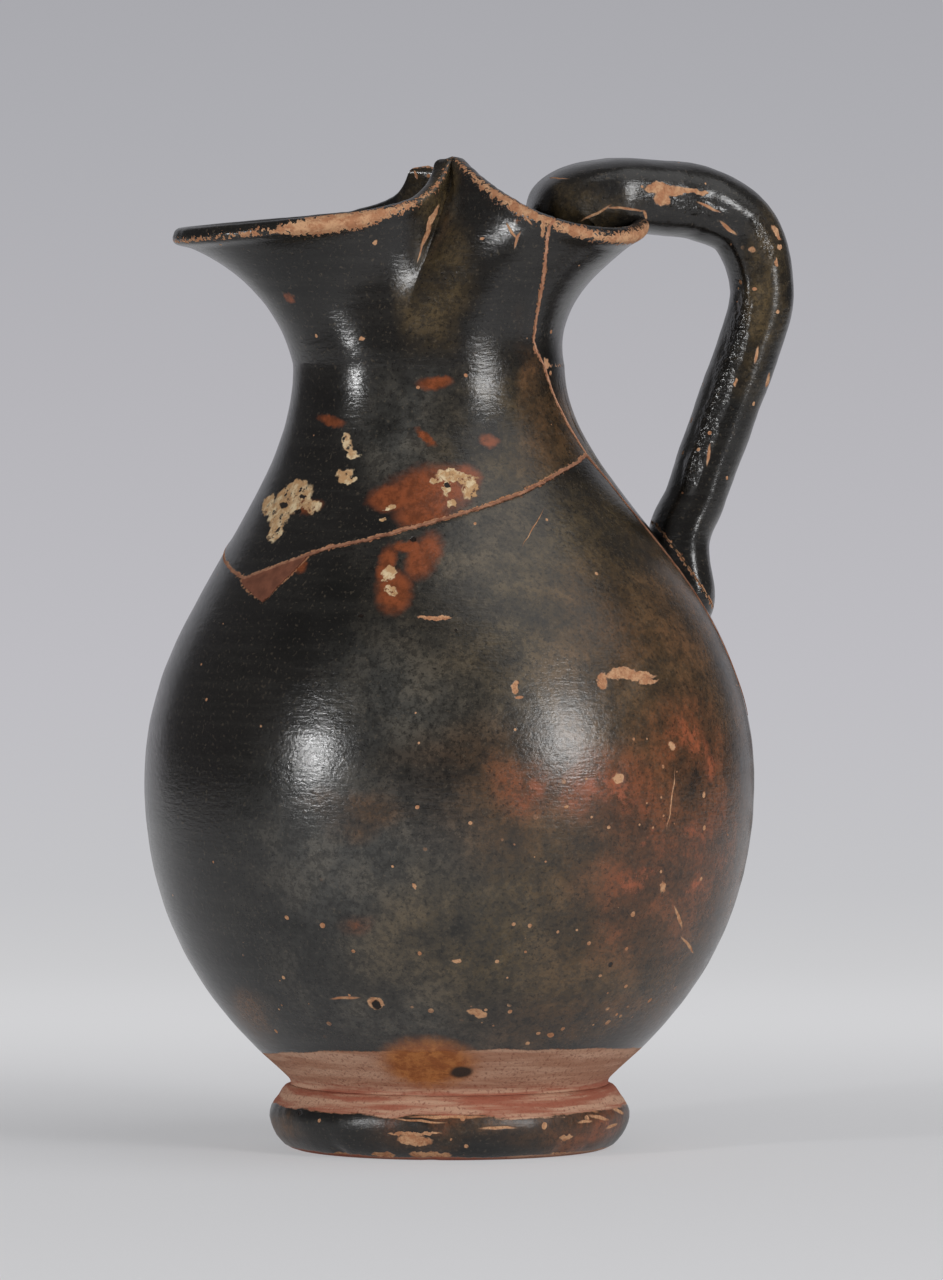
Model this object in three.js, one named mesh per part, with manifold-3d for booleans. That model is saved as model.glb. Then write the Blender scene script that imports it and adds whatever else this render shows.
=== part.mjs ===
// A trefoil oinochoe: a wheel-thrown, black-gloss terracotta wine jug with a pinched three-lobed
// mouth, a luted ring foot and a pulled handle. It has been broken and mended, so its wall is three
// joining sherds with plaster in the breaks. Millimetres, +Z up. The spout points along -X and the
// handle along +X. The jug is modelled about the axis it was thrown on, and the whole is then moved
// so that the origin is on the resting plane under the middle of its box.
import * as THREE from "three";
import { mergeVertices } from "three/addons/utils/BufferGeometryUtils.js";
import Module from "manifold-3d";

const wasm = await Module();
wasm.setup();

// Thrown wall
const BELLY_RADIUS = 52.1;
const BELLY_HEIGHT = 62;
const BELLY_FALL = 35.4; // length of the upright handle of the belly's curve, downwards
const SHOULDER_RISE = 33.6; // and upwards
const NECK_RADIUS = 23.3;
const NECK_HEIGHT = 133;
const NECK_FALL = 22.1; // length of the upright handle of the neck's curve
const NECK_LEAN = -3.55; // the neck was pushed towards the spout when the mouth was pinched
const LEAN_FROM_HEIGHT = 91;
const NECK_SQUEEZE = 0.94; // its width across the spout, as a share of its length
const CREASE_RADIUS = 27.1; // where the wall rises out of the foot
const CREASE_HEIGHT = 10.9;
const WALL_AT_BELLY = 3.6;
const WALL_AT_LIP = 3;
const WALL_EXTRA_AT_FOOT = 0.6;
const FLOOR_THICKNESS = 4.6;
const FLOOR_RISE = 1.6; // from the middle of the floor to the root of the wall

// Pinched mouth, measured along the outer edge of the wall, under the rounded lip
const SPOUT_REACH = 46.4;
const SPOUT_HALF_WIDTH = 20.5;
const SPOUT_LIP_HEIGHT = 153.4;
const BACK_REACH = 33.1;
const SIDE_LOBE_HALF_WIDTH = 28;
const SIDE_LOBE_DIP = 154.6;
const BACK_LIP_HEIGHT = 157.5;
const PINCH_HALF_GAP = 9.8;
const PINCH_AT = -1.2;
const PINCH_HEIGHT = 167.6;
const PINCH_SHOULDER = 6.6; // how far the spout's lip has climbed where the fold begins
const FOLD_STEEPNESS = 9;
const FAR_PINCH_DROP = 1.6; // the far pinch stands lower than the near one,
const FAR_PINCH_LEAD = 1.5; // and nearer the spout
const PINCH_BEARING = 72; // degrees round from the spout, on the neck
const PINCH_SHARE = PINCH_BEARING / 360;
const NECK_VALLEY = 1.3; // how deep the finger groove is where it reaches the neck
const NECK_VALLEY_SPREAD = 17; // degrees

// The throat is the ring under the lip that sets how steeply each lobe flares. These are its
// distances in from the lip, or under it.
const THROAT_IN_AT_SPOUT = 8.8;
const THROAT_DOWN_AT_SPOUT = 2.8;
const THROAT_IN_BESIDE_SPOUT = 4.5;
const THROAT_IN_AT_SIDE = 5.5;
const THROAT_DOWN_AT_SIDE = 5;
const THROAT_IN_AT_BACK = 6.8;
const THROAT_DOWN_AT_BACK = 7;
const THROAT_OUT_AT_PINCH = 3.2;
const THROAT_DOWN_AT_PINCH = 11;
const THROAT_LEAD_AT_PINCH = 1.2;
const THROAT_SHOULDER = 2.6;

// Ring foot
const FOOT_RADIUS = 30.9;
const FOOT_WIDEST_HEIGHT = 5.8;
const REST_OUTER_RADIUS = 26.4;
const REST_INNER_RADIUS = 20.6;
const FOOT_BORE_RADIUS = 18.6;
const FOOT_SEAT_DEPTH = 3.7; // how far the conical seat under the belly drops from crease to bore

// Handle
const HANDLE_HALF_THICKNESS = 5.3;
const HANDLE_HALF_WIDTH = 7.3;
const HANDLE_REACH = 54.4; // of its middle line, from the axis
const HANDLE_BEND_HEIGHT = 145.5;
const HANDLE_RISE = 162.75; // height of its middle line over the back lip
const HANDLE_END_HEIGHT = 88.8;
const HANDLE_END_ROUNDING = 0.035; // of its length
const ROOT_BREAK_HEIGHT = 98.5; // where the handle snapped off its lower root, at the axis of the strap

// Breaks and mends
const SEAM_WIDTH = 0.5; // of plaster in a mended break
const JOINT_GAP = 0.3; // of slip or glue between touching pieces
const SEAM_RECESS = 0.15;
const SEAM_HEAD = 2.985; // the stage where a neck break's plaster ends, just under the lip

const SHOULDER_BREAK_HEIGHT = 100.8; // under the spout
const LOST_CORNER_FROM = 0.06; // a corner lost from the belly's edge, in shares of the way round
const LOST_CORNER_TIP = 0.094;
const LOST_CORNER_TO = 0.12;
const LOST_CORNER_DEPTH = 6.4;
const LOST_CORNER_INSET = 0.2; // of its plaster, clear of its two sharp ends
const STUMP_PROUD = 0.9; // of the handle's root, left standing on the shoulder
const STUMP_BITE = 1.5; // its depth into the wall that it was luted to

const COLUMNS = 62; // wall facets right round
const BELLY_ROWS = 14;
const NECK_ROWS = 12;
const SHOULDER_ROWS = 14;
const SETTLING_PASSES = 8;
const LOST_CORNER_ROWS = 3;
const HANDLE_RINGS = 40;
const HANDLE_SIDES = 18;
const TAU = Math.PI * 2;

const mix = (a, b, t) => a + (b - a) * t;
const smooth = (t) => t * t * (3 - 2 * t);
const clamp01 = (t) => Math.min(1, Math.max(0, t));
const ramp = (from, to, value) => smooth(clamp01((value - from) / (to - from)));
const radians = THREE.MathUtils.degToRad;

// Profile of the thrown wall: stage 0 to 1 runs from the crease over the foot to the belly, and
// stage 1 to 2 from the belly to the neck, where the wall stands upright.
const lowerProfile = new THREE.CubicBezierCurve(
  new THREE.Vector2(CREASE_RADIUS, CREASE_HEIGHT),
  new THREE.Vector2(CREASE_RADIUS - 0.8, CREASE_HEIGHT + 1.9),
  new THREE.Vector2(BELLY_RADIUS, BELLY_HEIGHT - BELLY_FALL),
  new THREE.Vector2(BELLY_RADIUS, BELLY_HEIGHT),
);
const upperProfile = new THREE.CubicBezierCurve(
  new THREE.Vector2(BELLY_RADIUS, BELLY_HEIGHT),
  new THREE.Vector2(BELLY_RADIUS, BELLY_HEIGHT + SHOULDER_RISE),
  new THREE.Vector2(NECK_RADIUS, NECK_HEIGHT - NECK_FALL),
  new THREE.Vector2(NECK_RADIUS, NECK_HEIGHT),
);

// The bearing, in radians from the spout, of a column of the wall. A column is a share of the way
// round, and its first half runs from the spout past the near pinch to the handle.
function bearingOf(column) {
  const half = column <= 0.5 ? column : 1 - column;
  const pinch = radians(PINCH_BEARING);
  const bearing =
    half <= PINCH_SHARE
      ? (pinch * half) / PINCH_SHARE
      : mix(pinch, Math.PI, (half - PINCH_SHARE) / (0.5 - PINCH_SHARE));
  return column <= 0.5 ? bearing : TAU - bearing;
}

// Outer surface below the neck: round, and drawn towards the spout near the neck.
function thrownPoint(column, stage) {
  const bearing = bearingOf(column);
  const profile =
    stage <= 1 ? lowerProfile.getPoint(stage) : upperProfile.getPoint(stage - 1);
  const pull = ramp(LEAN_FROM_HEIGHT, NECK_HEIGHT, profile.y);
  const fold = Math.min(bearing, TAU - bearing) - radians(PINCH_BEARING);
  const valley = NECK_VALLEY * pull * Math.exp(-((fold / radians(NECK_VALLEY_SPREAD)) ** 2));
  const radius = profile.x - valley;
  return new THREE.Vector3(
    NECK_LEAN * pull - radius * Math.cos(bearing),
    -radius * mix(1, NECK_SQUEEZE, pull) * Math.sin(bearing),
    profile.y,
  );
}

// Half of a trefoil ring as two curves that meet in the cusp of the pinch. The far half mirrors it.
function trefoilHalf({ reach, spoutWidth, spoutHeight, back, sideWidth, sideDip, backHeight, pinch }) {
  const tip = new THREE.Vector3(-reach, 0, spoutHeight);
  const cusp = new THREE.Vector3(pinch.at, -pinch.gap, pinch.height);
  const rear = new THREE.Vector3(back, 0, backHeight);
  return [
    new THREE.CubicBezierCurve3(
      tip,
      new THREE.Vector3(-reach, -spoutWidth, spoutHeight),
      new THREE.Vector3(pinch.at - 0.2 * reach, -1.43 * spoutWidth, spoutHeight + 0.6 * pinch.shoulder),
      cusp.clone().setZ(spoutHeight + pinch.shoulder),
    ),
    new THREE.CubicBezierCurve3(
      cusp,
      new THREE.Vector3(mix(pinch.at, back, 0.26), -1.33 * sideWidth, sideDip - 2),
      new THREE.Vector3(back, -1.14 * sideWidth, 2 * sideDip - backHeight - 1),
      rear,
    ),
  ];
}

const lip = trefoilHalf({
  reach: SPOUT_REACH,
  spoutWidth: SPOUT_HALF_WIDTH,
  spoutHeight: SPOUT_LIP_HEIGHT,
  back: BACK_REACH,
  sideWidth: SIDE_LOBE_HALF_WIDTH,
  sideDip: SIDE_LOBE_DIP,
  backHeight: BACK_LIP_HEIGHT,
  pinch: { at: PINCH_AT, gap: PINCH_HALF_GAP, height: PINCH_HEIGHT, shoulder: PINCH_SHOULDER },
});
const throat = trefoilHalf({
  reach: SPOUT_REACH - THROAT_IN_AT_SPOUT,
  spoutWidth: SPOUT_HALF_WIDTH - THROAT_IN_BESIDE_SPOUT,
  spoutHeight: SPOUT_LIP_HEIGHT - THROAT_DOWN_AT_SPOUT,
  back: BACK_REACH - THROAT_IN_AT_BACK,
  sideWidth: SIDE_LOBE_HALF_WIDTH - THROAT_IN_AT_SIDE,
  sideDip: SIDE_LOBE_DIP - THROAT_DOWN_AT_SIDE,
  backHeight: BACK_LIP_HEIGHT - THROAT_DOWN_AT_BACK,
  pinch: {
    at: PINCH_AT - THROAT_LEAD_AT_PINCH,
    gap: PINCH_HALF_GAP + THROAT_OUT_AT_PINCH,
    height: PINCH_HEIGHT - THROAT_DOWN_AT_PINCH,
    shoulder: THROAT_SHOULDER,
  },
});

function onTrefoil(ring, column) {
  const half = column <= 0.5 ? column : 1 - column;
  const far = column > 0.5;
  const spoutShare = half / PINCH_SHARE;
  const backShare = (half - PINCH_SHARE) / (0.5 - PINCH_SHARE);
  const point = half <= PINCH_SHARE ? ring[0].getPoint(spoutShare) : ring[1].getPoint(backShare);
  // the spout's lip climbs the fold of the pinch only over its last stretch
  if (half <= PINCH_SHARE) point.z += (ring[1].v0.z - ring[0].v3.z) * spoutShare ** FOLD_STEEPNESS;
  if (far) {
    point.y = -point.y;
    const nearness = half <= PINCH_SHARE ? spoutShare : 1 - backShare;
    point.z -= FAR_PINCH_DROP * nearness ** 3;
    point.x -= FAR_PINCH_LEAD * nearness ** 6;
  }
  return point;
}

// Outer surface of the whole wall. Stage 2 to 3 is the mouth, from the neck to the lip.
function outerPoint(column, stage) {
  const around = ((column % 1) + 1) % 1;
  if (stage <= 2) return thrownPoint(around, stage);
  const foot = thrownPoint(around, 2);
  const rise = new THREE.Vector3(0.65 * NECK_LEAN, 0, (SPOUT_LIP_HEIGHT - NECK_HEIGHT) / 2);
  return new THREE.CubicBezierCurve3(
    foot,
    foot.clone().add(rise),
    onTrefoil(throat, around),
    onTrefoil(lip, around),
  ).getPoint(stage - 2);
}

const STEP = 1e-3;
function frameAt(column, stage) {
  const s = Math.min(stage, 3 - STEP);
  const along = outerPoint(column, s + STEP).sub(outerPoint(column, Math.max(0, s - STEP)));
  const around = outerPoint(column + STEP, s).sub(outerPoint(column - STEP, s));
  const outward = new THREE.Vector3().crossVectors(around, along).normalize();
  return { outward, up: along.normalize() };
}

function wallAt(stage) {
  return mix(WALL_AT_BELLY, WALL_AT_LIP, ramp(1.2, 2.8, stage));
}

function wallPoint(column, stage, depth) {
  return outerPoint(column, stage).addScaledVector(frameAt(column, stage).outward, -depth);
}

// The stage at which a column of the wall reaches a height, below the neck.
function stageAt(column, height) {
  let low = 0;
  let high = 2;
  for (let i = 0; i < 30; i++) {
    const middle = (low + high) / 2;
    if (thrownPoint(column, middle).z < height) low = middle;
    else high = middle;
  }
  return low;
}

// The shoulder break runs right round the jug. It dips beside the spout, climbs to the foot of the
// near neck break, drops steeply beside the root of the handle and passes under it. Each corner is a
// share of the way round, and a height over the break's height under the spout.
const breakCorners = [
  [0, 0], [0.037, -1.8], [0.064, -3.2], [0.116, 0.7], [0.136, 2.3], [0.165, 3.6], [0.203, 5.8],
  [0.26, 9], [0.295, 11], [0.327, 13], [0.362, 15], [0.424, 17.4], [0.438, 13], [0.446, 5],
  [0.455, -8], [0.463, -21], [0.479, -27], [0.52, -29.5], [0.56, -26], [0.6, -16], [0.66, -3],
  [0.78, 3], [0.9, 3.4], [0.97, 1.8], [1, 0],
];
function breakHeight(column) {
  const around = ((column % 1) + 1) % 1;
  const next = breakCorners.findIndex(([share]) => share > around);
  const [from, low] = breakCorners[next - 1];
  const [to, high] = breakCorners[next];
  return SHOULDER_BREAK_HEIGHT + mix(low, high, (around - from) / (to - from));
}

// The corner that is lost below the shoulder break, as a depth under it.
function lostCornerDepth(column) {
  const rising = (column - LOST_CORNER_FROM) / (LOST_CORNER_TIP - LOST_CORNER_FROM);
  const falling = (LOST_CORNER_TO - column) / (LOST_CORNER_TO - LOST_CORNER_TIP);
  return LOST_CORNER_DEPTH * Math.max(0, Math.min(rising, falling));
}

// The two breaks that split the neck, as the column that each reaches at a stage of the wall.
const nearBreak = (stage) =>
  0.424 - 0.054 * ramp(1.74, 2.17, stage) - 0.068 * ramp(2.18, 3.15, stage);
const farBreak = (stage) => 0.672 + 0.02 * ramp(1.6, 3, stage) + 0.005 * Math.sin(6 * stage);

// Points over the rounded lip, from the outer edge to the inner one.
const LIP_ANGLES = [38, 74];
function lipPoint(column, angle, gap) {
  const { outward, up } = frameAt(column, 3);
  const half = WALL_AT_LIP / 2;
  const centre = outerPoint(column, 3).addScaledVector(outward, -half);
  return centre
    .addScaledVector(outward, Math.cos(angle) * (half + gap))
    .addScaledVector(up, Math.sin(angle) * (half + gap));
}

// A solid from sections that each hold an outer and an inner row of points, bottom to top.
function solidFromSections(sections, closed) {
  const position = [];
  const index = [];
  const rows = sections[0].outer.length;
  for (const { outer, inner } of sections) {
    for (const point of [...outer, ...inner]) position.push(point.x, point.y, point.z);
  }
  const outerAt = (i, j) => (i % sections.length) * rows * 2 + j;
  const innerAt = (i, j) => outerAt(i, j) + rows;
  const quad = (a, b, c, d) => index.push(a, b, c, a, c, d);
  const spans = closed ? sections.length : sections.length - 1;
  for (let i = 0; i < spans; i++) {
    for (let j = 0; j < rows - 1; j++) {
      quad(outerAt(i, j), outerAt(i + 1, j), outerAt(i + 1, j + 1), outerAt(i, j + 1));
      quad(innerAt(i, j + 1), innerAt(i + 1, j + 1), innerAt(i + 1, j), innerAt(i, j));
    }
    const top = rows - 1;
    quad(outerAt(i, top), outerAt(i + 1, top), innerAt(i + 1, top), innerAt(i, top));
    quad(innerAt(i, 0), innerAt(i + 1, 0), outerAt(i + 1, 0), outerAt(i, 0));
  }
  if (!closed) {
    const last = sections.length - 1;
    for (let j = 0; j < rows - 1; j++) {
      quad(outerAt(0, j), outerAt(0, j + 1), innerAt(0, j + 1), innerAt(0, j));
      quad(outerAt(last, j + 1), outerAt(last, j), innerAt(last, j), innerAt(last, j + 1));
    }
  }
  return weld(position, index);
}

// Joins equal points and leaves out the triangles that a pole closes up.
function weld(position, index) {
  let geometry = new THREE.BufferGeometry();
  geometry.setAttribute("position", new THREE.Float32BufferAttribute(position, 3));
  geometry.setIndex(index);
  geometry = mergeVertices(geometry, 1e-4);
  const merged = geometry.index.array;
  const kept = [];
  for (let i = 0; i < merged.length; i += 3) {
    const [a, b, c] = [merged[i], merged[i + 1], merged[i + 2]];
    if (a !== b && b !== c && c !== a) kept.push(a, b, c);
  }
  geometry.setIndex(kept);
  return geometry;
}

function toManifold(geometry) {
  const bare = geometry.clone();
  bare.deleteAttribute("normal");
  bare.deleteAttribute("uv");
  const merged = mergeVertices(bare, 1e-4);
  return new wasm.Manifold(
    new wasm.Mesh({
      numProp: 3,
      vertProperties: new Float32Array(merged.attributes.position.array),
      triVerts: new Uint32Array(merged.index.array),
    }),
  );
}

function toGeometry(manifold) {
  const { vertProperties, triVerts } = manifold.getMesh();
  const geometry = new THREE.BufferGeometry();
  geometry.setAttribute("position", new THREE.BufferAttribute(vertProperties, 3));
  geometry.setIndex(new THREE.BufferAttribute(triVerts, 1));
  return geometry;
}

// The part of the wall between two breaks, from the shoulder break to the lip. `columns` are its
// columns at the foot, from break to break. Higher up they follow the breaks, except those from
// `heldFrom` to `heldTo`, which run straight up so that the folds of the mouth stay sharp. The wall
// and its lip can be grown by a gap, for cutting what is fitted over them.
function wallPatch({ left, right, columns, heldFrom, heldTo }, gap = 0) {
  const first = columns[0];
  const last = columns.at(-1);
  const columnAt = (column, stage) => {
    if (column < heldFrom) return mix(left(stage), heldFrom, (column - first) / (heldFrom - first));
    if (column > heldTo) return mix(heldTo, right(stage), (column - heldTo) / (last - heldTo));
    return column;
  };
  const sections = columns.map((start) => {
    const outer = [];
    const inner = [];
    for (let j = 0; j <= NECK_ROWS; j++) {
      let column = start;
      let stage = sherdFoot(start);
      for (let pass = 0; pass < (j === 0 ? 0 : SETTLING_PASSES); pass++) {
        stage = mix(sherdFoot(column), 3, j / NECK_ROWS);
        column = columnAt(start, stage);
      }
      outer.push(wallPoint(column, stage, -gap));
      inner.push(wallPoint(column, stage, wallAt(stage) + gap));
      if (j === NECK_ROWS) {
        for (const angle of LIP_ANGLES) {
          outer.push(lipPoint(column, radians(angle), gap));
          inner.push(lipPoint(column, radians(180 - angle), gap));
        }
      }
    }
    return { outer, inner };
  });
  return solidFromSections(sections, false);
}

// How far, in stages, a distance up the wall is.
function stageStep(column, stage, distance) {
  const climb = outerPoint(column, stage + STEP).distanceTo(outerPoint(column, stage));
  return (distance * STEP) / climb;
}
function distanceRound(column, stage) {
  return outerPoint(column + STEP, stage).distanceTo(outerPoint(column, stage));
}
// How far, in columns, a distance round the wall is.
function columnStep(column, stage, distance) {
  return (distance * STEP) / distanceRound(column, stage);
}

const halfSeam = SEAM_WIDTH / 2;
const halfCut = halfSeam + JOINT_GAP;
// The stage a distance above the shoulder break, or below it, square to the break's own slope.
function besideBreak(column, distance, drop = 0) {
  const height = breakHeight(column);
  const stage = stageAt(column, height);
  const round = distanceRound(column, stage);
  const slope = (breakHeight(column + STEP) - breakHeight(column - STEP)) / (2 * round);
  return stage + stageStep(column, stage, distance * Math.hypot(1, slope) - drop);
}
const seamFoot = (column) => besideBreak(column, -halfSeam);
const seamHead = (column) => besideBreak(column, halfSeam);
const sherdFoot = (column) => besideBreak(column, halfCut);
const bellyHead = (column) => besideBreak(column, -halfCut, lostCornerDepth(column));

// The columns of the four lower corners of the sherds, where the neck breaks meet the shoulder one.
function cornerColumn(line, side) {
  let column = line(2);
  for (let pass = 0; pass < SETTLING_PASSES; pass++) {
    const stage = sherdFoot(column);
    column = line(stage) + side * columnStep(line(stage), stage, halfCut);
  }
  return column;
}
const frontAtNearBreak = cornerColumn(nearBreak, -1);
const backAtNearBreak = cornerColumn(nearBreak, 1);
const backAtFarBreak = cornerColumn(farBreak, -1);
const frontAtFarBreak = cornerColumn(farBreak, 1);

// Every column of the wall at the shoulder break: evenly round, and where something begins or ends.
// All that meets at the break shares them, so that its facets run side by side.
const namedColumns = [
  LOST_CORNER_FROM,
  LOST_CORNER_TIP,
  LOST_CORNER_TO,
  ...breakCorners.slice(0, -1).map(([share]) => share),
  PINCH_SHARE,
  1 - PINCH_SHARE,
  0.5,
  frontAtNearBreak,
  backAtNearBreak,
  backAtFarBreak,
  frontAtFarBreak,
];
const wallColumns = Array.from({ length: COLUMNS }, (_, index) => index / COLUMNS)
  .filter((column) => namedColumns.every((named) => Math.abs(column - named) > 0.45 / COLUMNS))
  .concat(namedColumns)
  .sort((a, b) => a - b);
const columnsBetween = (from, to) => wallColumns.filter((column) => column >= from && column <= to);

// Belly: the floor and the wall up to the shoulder break, with the seat for the foot under it.
const WALL_ROOT_STAGE = 0.07; // where the inside of the wall rises out of the floor
function makeBelly() {
  const sections = [];
  for (const column of wallColumns) {
    const bearing = bearingOf(column);
    const at = (radius, height) =>
      new THREE.Vector3(-radius * Math.cos(bearing), -radius * Math.sin(bearing), height);
    const seatHeight = CREASE_HEIGHT - FOOT_SEAT_DEPTH;
    const floorHeight = seatHeight + FLOOR_THICKNESS;
    const outer = [
      at(0, seatHeight),
      at(FOOT_BORE_RADIUS / 2, seatHeight),
      at(FOOT_BORE_RADIUS, seatHeight),
    ];
    const inner = [
      at(0, floorHeight),
      at(FOOT_BORE_RADIUS / 2, floorHeight + 0.2 * FLOOR_RISE),
      at(FOOT_BORE_RADIUS + 1.5, floorHeight + FLOOR_RISE),
    ];
    for (let j = 0; j <= BELLY_ROWS; j++) {
      const stage = (bellyHead(column) * j) / BELLY_ROWS;
      outer.push(wallPoint(column, stage, 0));
      const thickness = WALL_AT_BELLY + WALL_EXTRA_AT_FOOT * (1 - ramp(0, 0.4, stage));
      inner.push(wallPoint(column, Math.max(stage, WALL_ROOT_STAGE), thickness));
    }
    sections.push({ outer, inner });
  }
  return solidFromSections(sections, true);
}

// Everything inside the outer surface, grown by a gap, from the belly to the neck, as one solid. It
// cuts the handle to the wall and shapes the stump that stays on the shoulder.
function shoulderBlank(gap) {
  const stages = Array.from({ length: SHOULDER_ROWS + 1 }, (_, j) => 1 + j / SHOULDER_ROWS);
  const onAxis = stages.map((stage) => new THREE.Vector3(NECK_LEAN / 2, 0, thrownPoint(0, stage).z));
  const sections = wallColumns.map((column) => ({
    outer: stages.map((stage) => wallPoint(column, stage, -gap)),
    inner: onAxis,
  }));
  return toManifold(solidFromSections(sections, true));
}

// Handle: a pulled strap that starts on the inside of the back lobe, crosses the lip, and comes
// down to the shoulder. Each station is its middle line, its half thickness and half width, and how
// square its section is, where 2 is round.
function handleStations() {
  const wallBack = (height) => outerPoint(0.5, stageAt(0.5, height)).x;
  const lipBack = BACK_REACH;
  const bend = HANDLE_BEND_HEIGHT;
  const t = HANDLE_HALF_THICKNESS;
  const w = HANDLE_HALF_WIDTH;
  return [
    [lipBack - 12.6, HANDLE_RISE - 15.5, 0.6 * t, 1.2 * w, 2],
    [lipBack - 14, HANDLE_RISE - 8.6, 0.95 * t, 1.5 * w, 2.4],
    [lipBack - 12.6, HANDLE_RISE - 3.5, 1.32 * t, 1.72 * w, 3],
    [lipBack - 5.6, HANDLE_RISE - 1.2, 1.27 * t, 1.72 * w, 3.2],
    [lipBack + 3.5, HANDLE_RISE - 1.3, 1.25 * t, 1.4 * w, 2.8],
    [lipBack + 11, HANDLE_RISE - 2.5, 1.23 * t, 1.12 * w, 2.3],
    [HANDLE_REACH - 3.7, HANDLE_RISE - 6.7, 1.15 * t, w, 2.1],
    [HANDLE_REACH - 0.4, bend, 1.06 * t, w, 2.1],
    [HANDLE_REACH - 3, bend - 10.2, 1.04 * t, w, 2.1],
    [HANDLE_REACH - 6.2, bend - 19, 1.04 * t, w, 2.1],
    [HANDLE_REACH - 9.5, bend - 28, 1.03 * t, 0.97 * w, 2.1],
    [wallBack(ROOT_BREAK_HEIGHT + 11.5) + 11.6, ROOT_BREAK_HEIGHT + 11.5, t, w, 2.1],
    [wallBack(ROOT_BREAK_HEIGHT + 4.5) + 3.3, ROOT_BREAK_HEIGHT + 4.5, 1.05 * t, 1.08 * w, 2.1],
    [wallBack(HANDLE_END_HEIGHT) - 3.6, HANDLE_END_HEIGHT, 0.95 * t, 1.2 * w, 2.1],
  ];
}

function makeHandleBlank() {
  const stations = handleStations();
  const middle = new THREE.CatmullRomCurve3(stations.map(([x, z]) => new THREE.Vector3(x, 0, z)));
  const halves = new THREE.CatmullRomCurve3(stations.map(([, , ...shape]) => new THREE.Vector3(...shape)));
  const squared = (value, power) => Math.sign(value) * Math.abs(value) ** (2 / power);
  const position = [];
  const index = [];
  for (let i = 0; i <= HANDLE_RINGS; i++) {
    const s = i / HANDLE_RINGS;
    const centre = middle.getPoint(s);
    const along = middle.getTangent(s);
    const half = halves.getPoint(s);
    // the ends are rounded over their last rings
    const fromRound = 1 - clamp01(Math.min(s, 1 - s) / HANDLE_END_ROUNDING);
    const round = Math.sqrt(1 - 0.7 * fromRound ** 2);
    for (let k = 0; k < HANDLE_SIDES; k++) {
      const angle = (TAU * k) / HANDLE_SIDES;
      const out = squared(Math.cos(angle), half.z) * half.x * round;
      const across = squared(Math.sin(angle), half.z) * half.y * round;
      position.push(centre.x + along.z * out, across, centre.z - along.x * out);
    }
  }
  const at = (i, k) => i * HANDLE_SIDES + (k % HANDLE_SIDES);
  for (let i = 0; i < HANDLE_RINGS; i++) {
    for (let k = 0; k < HANDLE_SIDES; k++) {
      index.push(at(i, k), at(i + 1, k + 1), at(i + 1, k), at(i, k), at(i, k + 1), at(i + 1, k + 1));
    }
  }
  const first = middle.getPoint(0);
  const last = middle.getPoint(1);
  const start = position.length / 3;
  position.push(first.x, 0, first.z, last.x, 0, last.z);
  for (let k = 0; k < HANDLE_SIDES; k++) {
    index.push(start, at(0, k + 1), at(0, k), start + 1, at(HANDLE_RINGS, k), at(HANDLE_RINGS, k + 1));
  }
  return toManifold(weld(position, index));
}

const handleBlank = makeHandleBlank();
const backEdges = {
  left: (stage) => nearBreak(stage) + columnStep(nearBreak(stage), stage, halfCut),
  right: (stage) => farBreak(stage) - columnStep(farBreak(stage), stage, halfCut),
  columns: columnsBetween(backAtNearBreak, backAtFarBreak),
  heldFrom: 0.5,
  heldTo: 0.5,
};

// The handle straddles the lip and stops short of the shoulder, where it snapped off.
function makeHandle() {
  const lipGroove = toManifold(wallPatch(backEdges, JOINT_GAP));
  return toGeometry(
    handleBlank.subtract(shoulderBlank(STUMP_PROUD + JOINT_GAP)).subtract(lipGroove),
  );
}

// The back of the neck and shoulder keeps the stump of the handle where it broke off.
function makeBackSherd() {
  const wall = toManifold(wallPatch(backEdges));
  const stump = handleBlank.intersect(shoulderBlank(STUMP_PROUD)).subtract(shoulderBlank(-STUMP_BITE));
  return toGeometry(wall.add(stump));
}

function makeFrontSherd() {
  return wallPatch({
    left: (stage) => farBreak(stage) - 1 + columnStep(farBreak(stage), stage, halfCut),
    right: (stage) => nearBreak(stage) - columnStep(nearBreak(stage), stage, halfCut),
    columns: [
      ...columnsBetween(frontAtFarBreak, 1).map((column) => column - 1),
      ...columnsBetween(0, frontAtNearBreak),
    ],
    heldFrom: -PINCH_SHARE,
    heldTo: PINCH_SHARE,
  });
}

// Plaster in a neck break, from just above the shoulder seam to just under the lip.
function makeNeckSeam(line) {
  const sides = [-halfSeam, halfSeam];
  const sections = sides.map((side) => {
    const outer = [];
    const inner = [];
    for (let j = 0; j <= NECK_ROWS; j++) {
      const stage = mix(sherdFoot(cornerColumn(line, 0)), SEAM_HEAD, j / NECK_ROWS);
      const column = line(stage) + columnStep(line(stage), stage, side);
      outer.push(wallPoint(column, stage, SEAM_RECESS));
      inner.push(wallPoint(column, stage, wallAt(stage) - SEAM_RECESS));
    }
    return { outer, inner };
  });
  return solidFromSections(sections, false);
}

function makeShoulderSeam() {
  const sections = [];
  for (const column of wallColumns) {
    const outer = [];
    const inner = [];
    for (const stage of [seamFoot(column), seamHead(column)]) {
      outer.push(wallPoint(column, stage, SEAM_RECESS));
      inner.push(wallPoint(column, stage, wallAt(stage) - SEAM_RECESS));
    }
    sections.push({ outer, inner });
  }
  return solidFromSections(sections, true);
}

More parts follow.
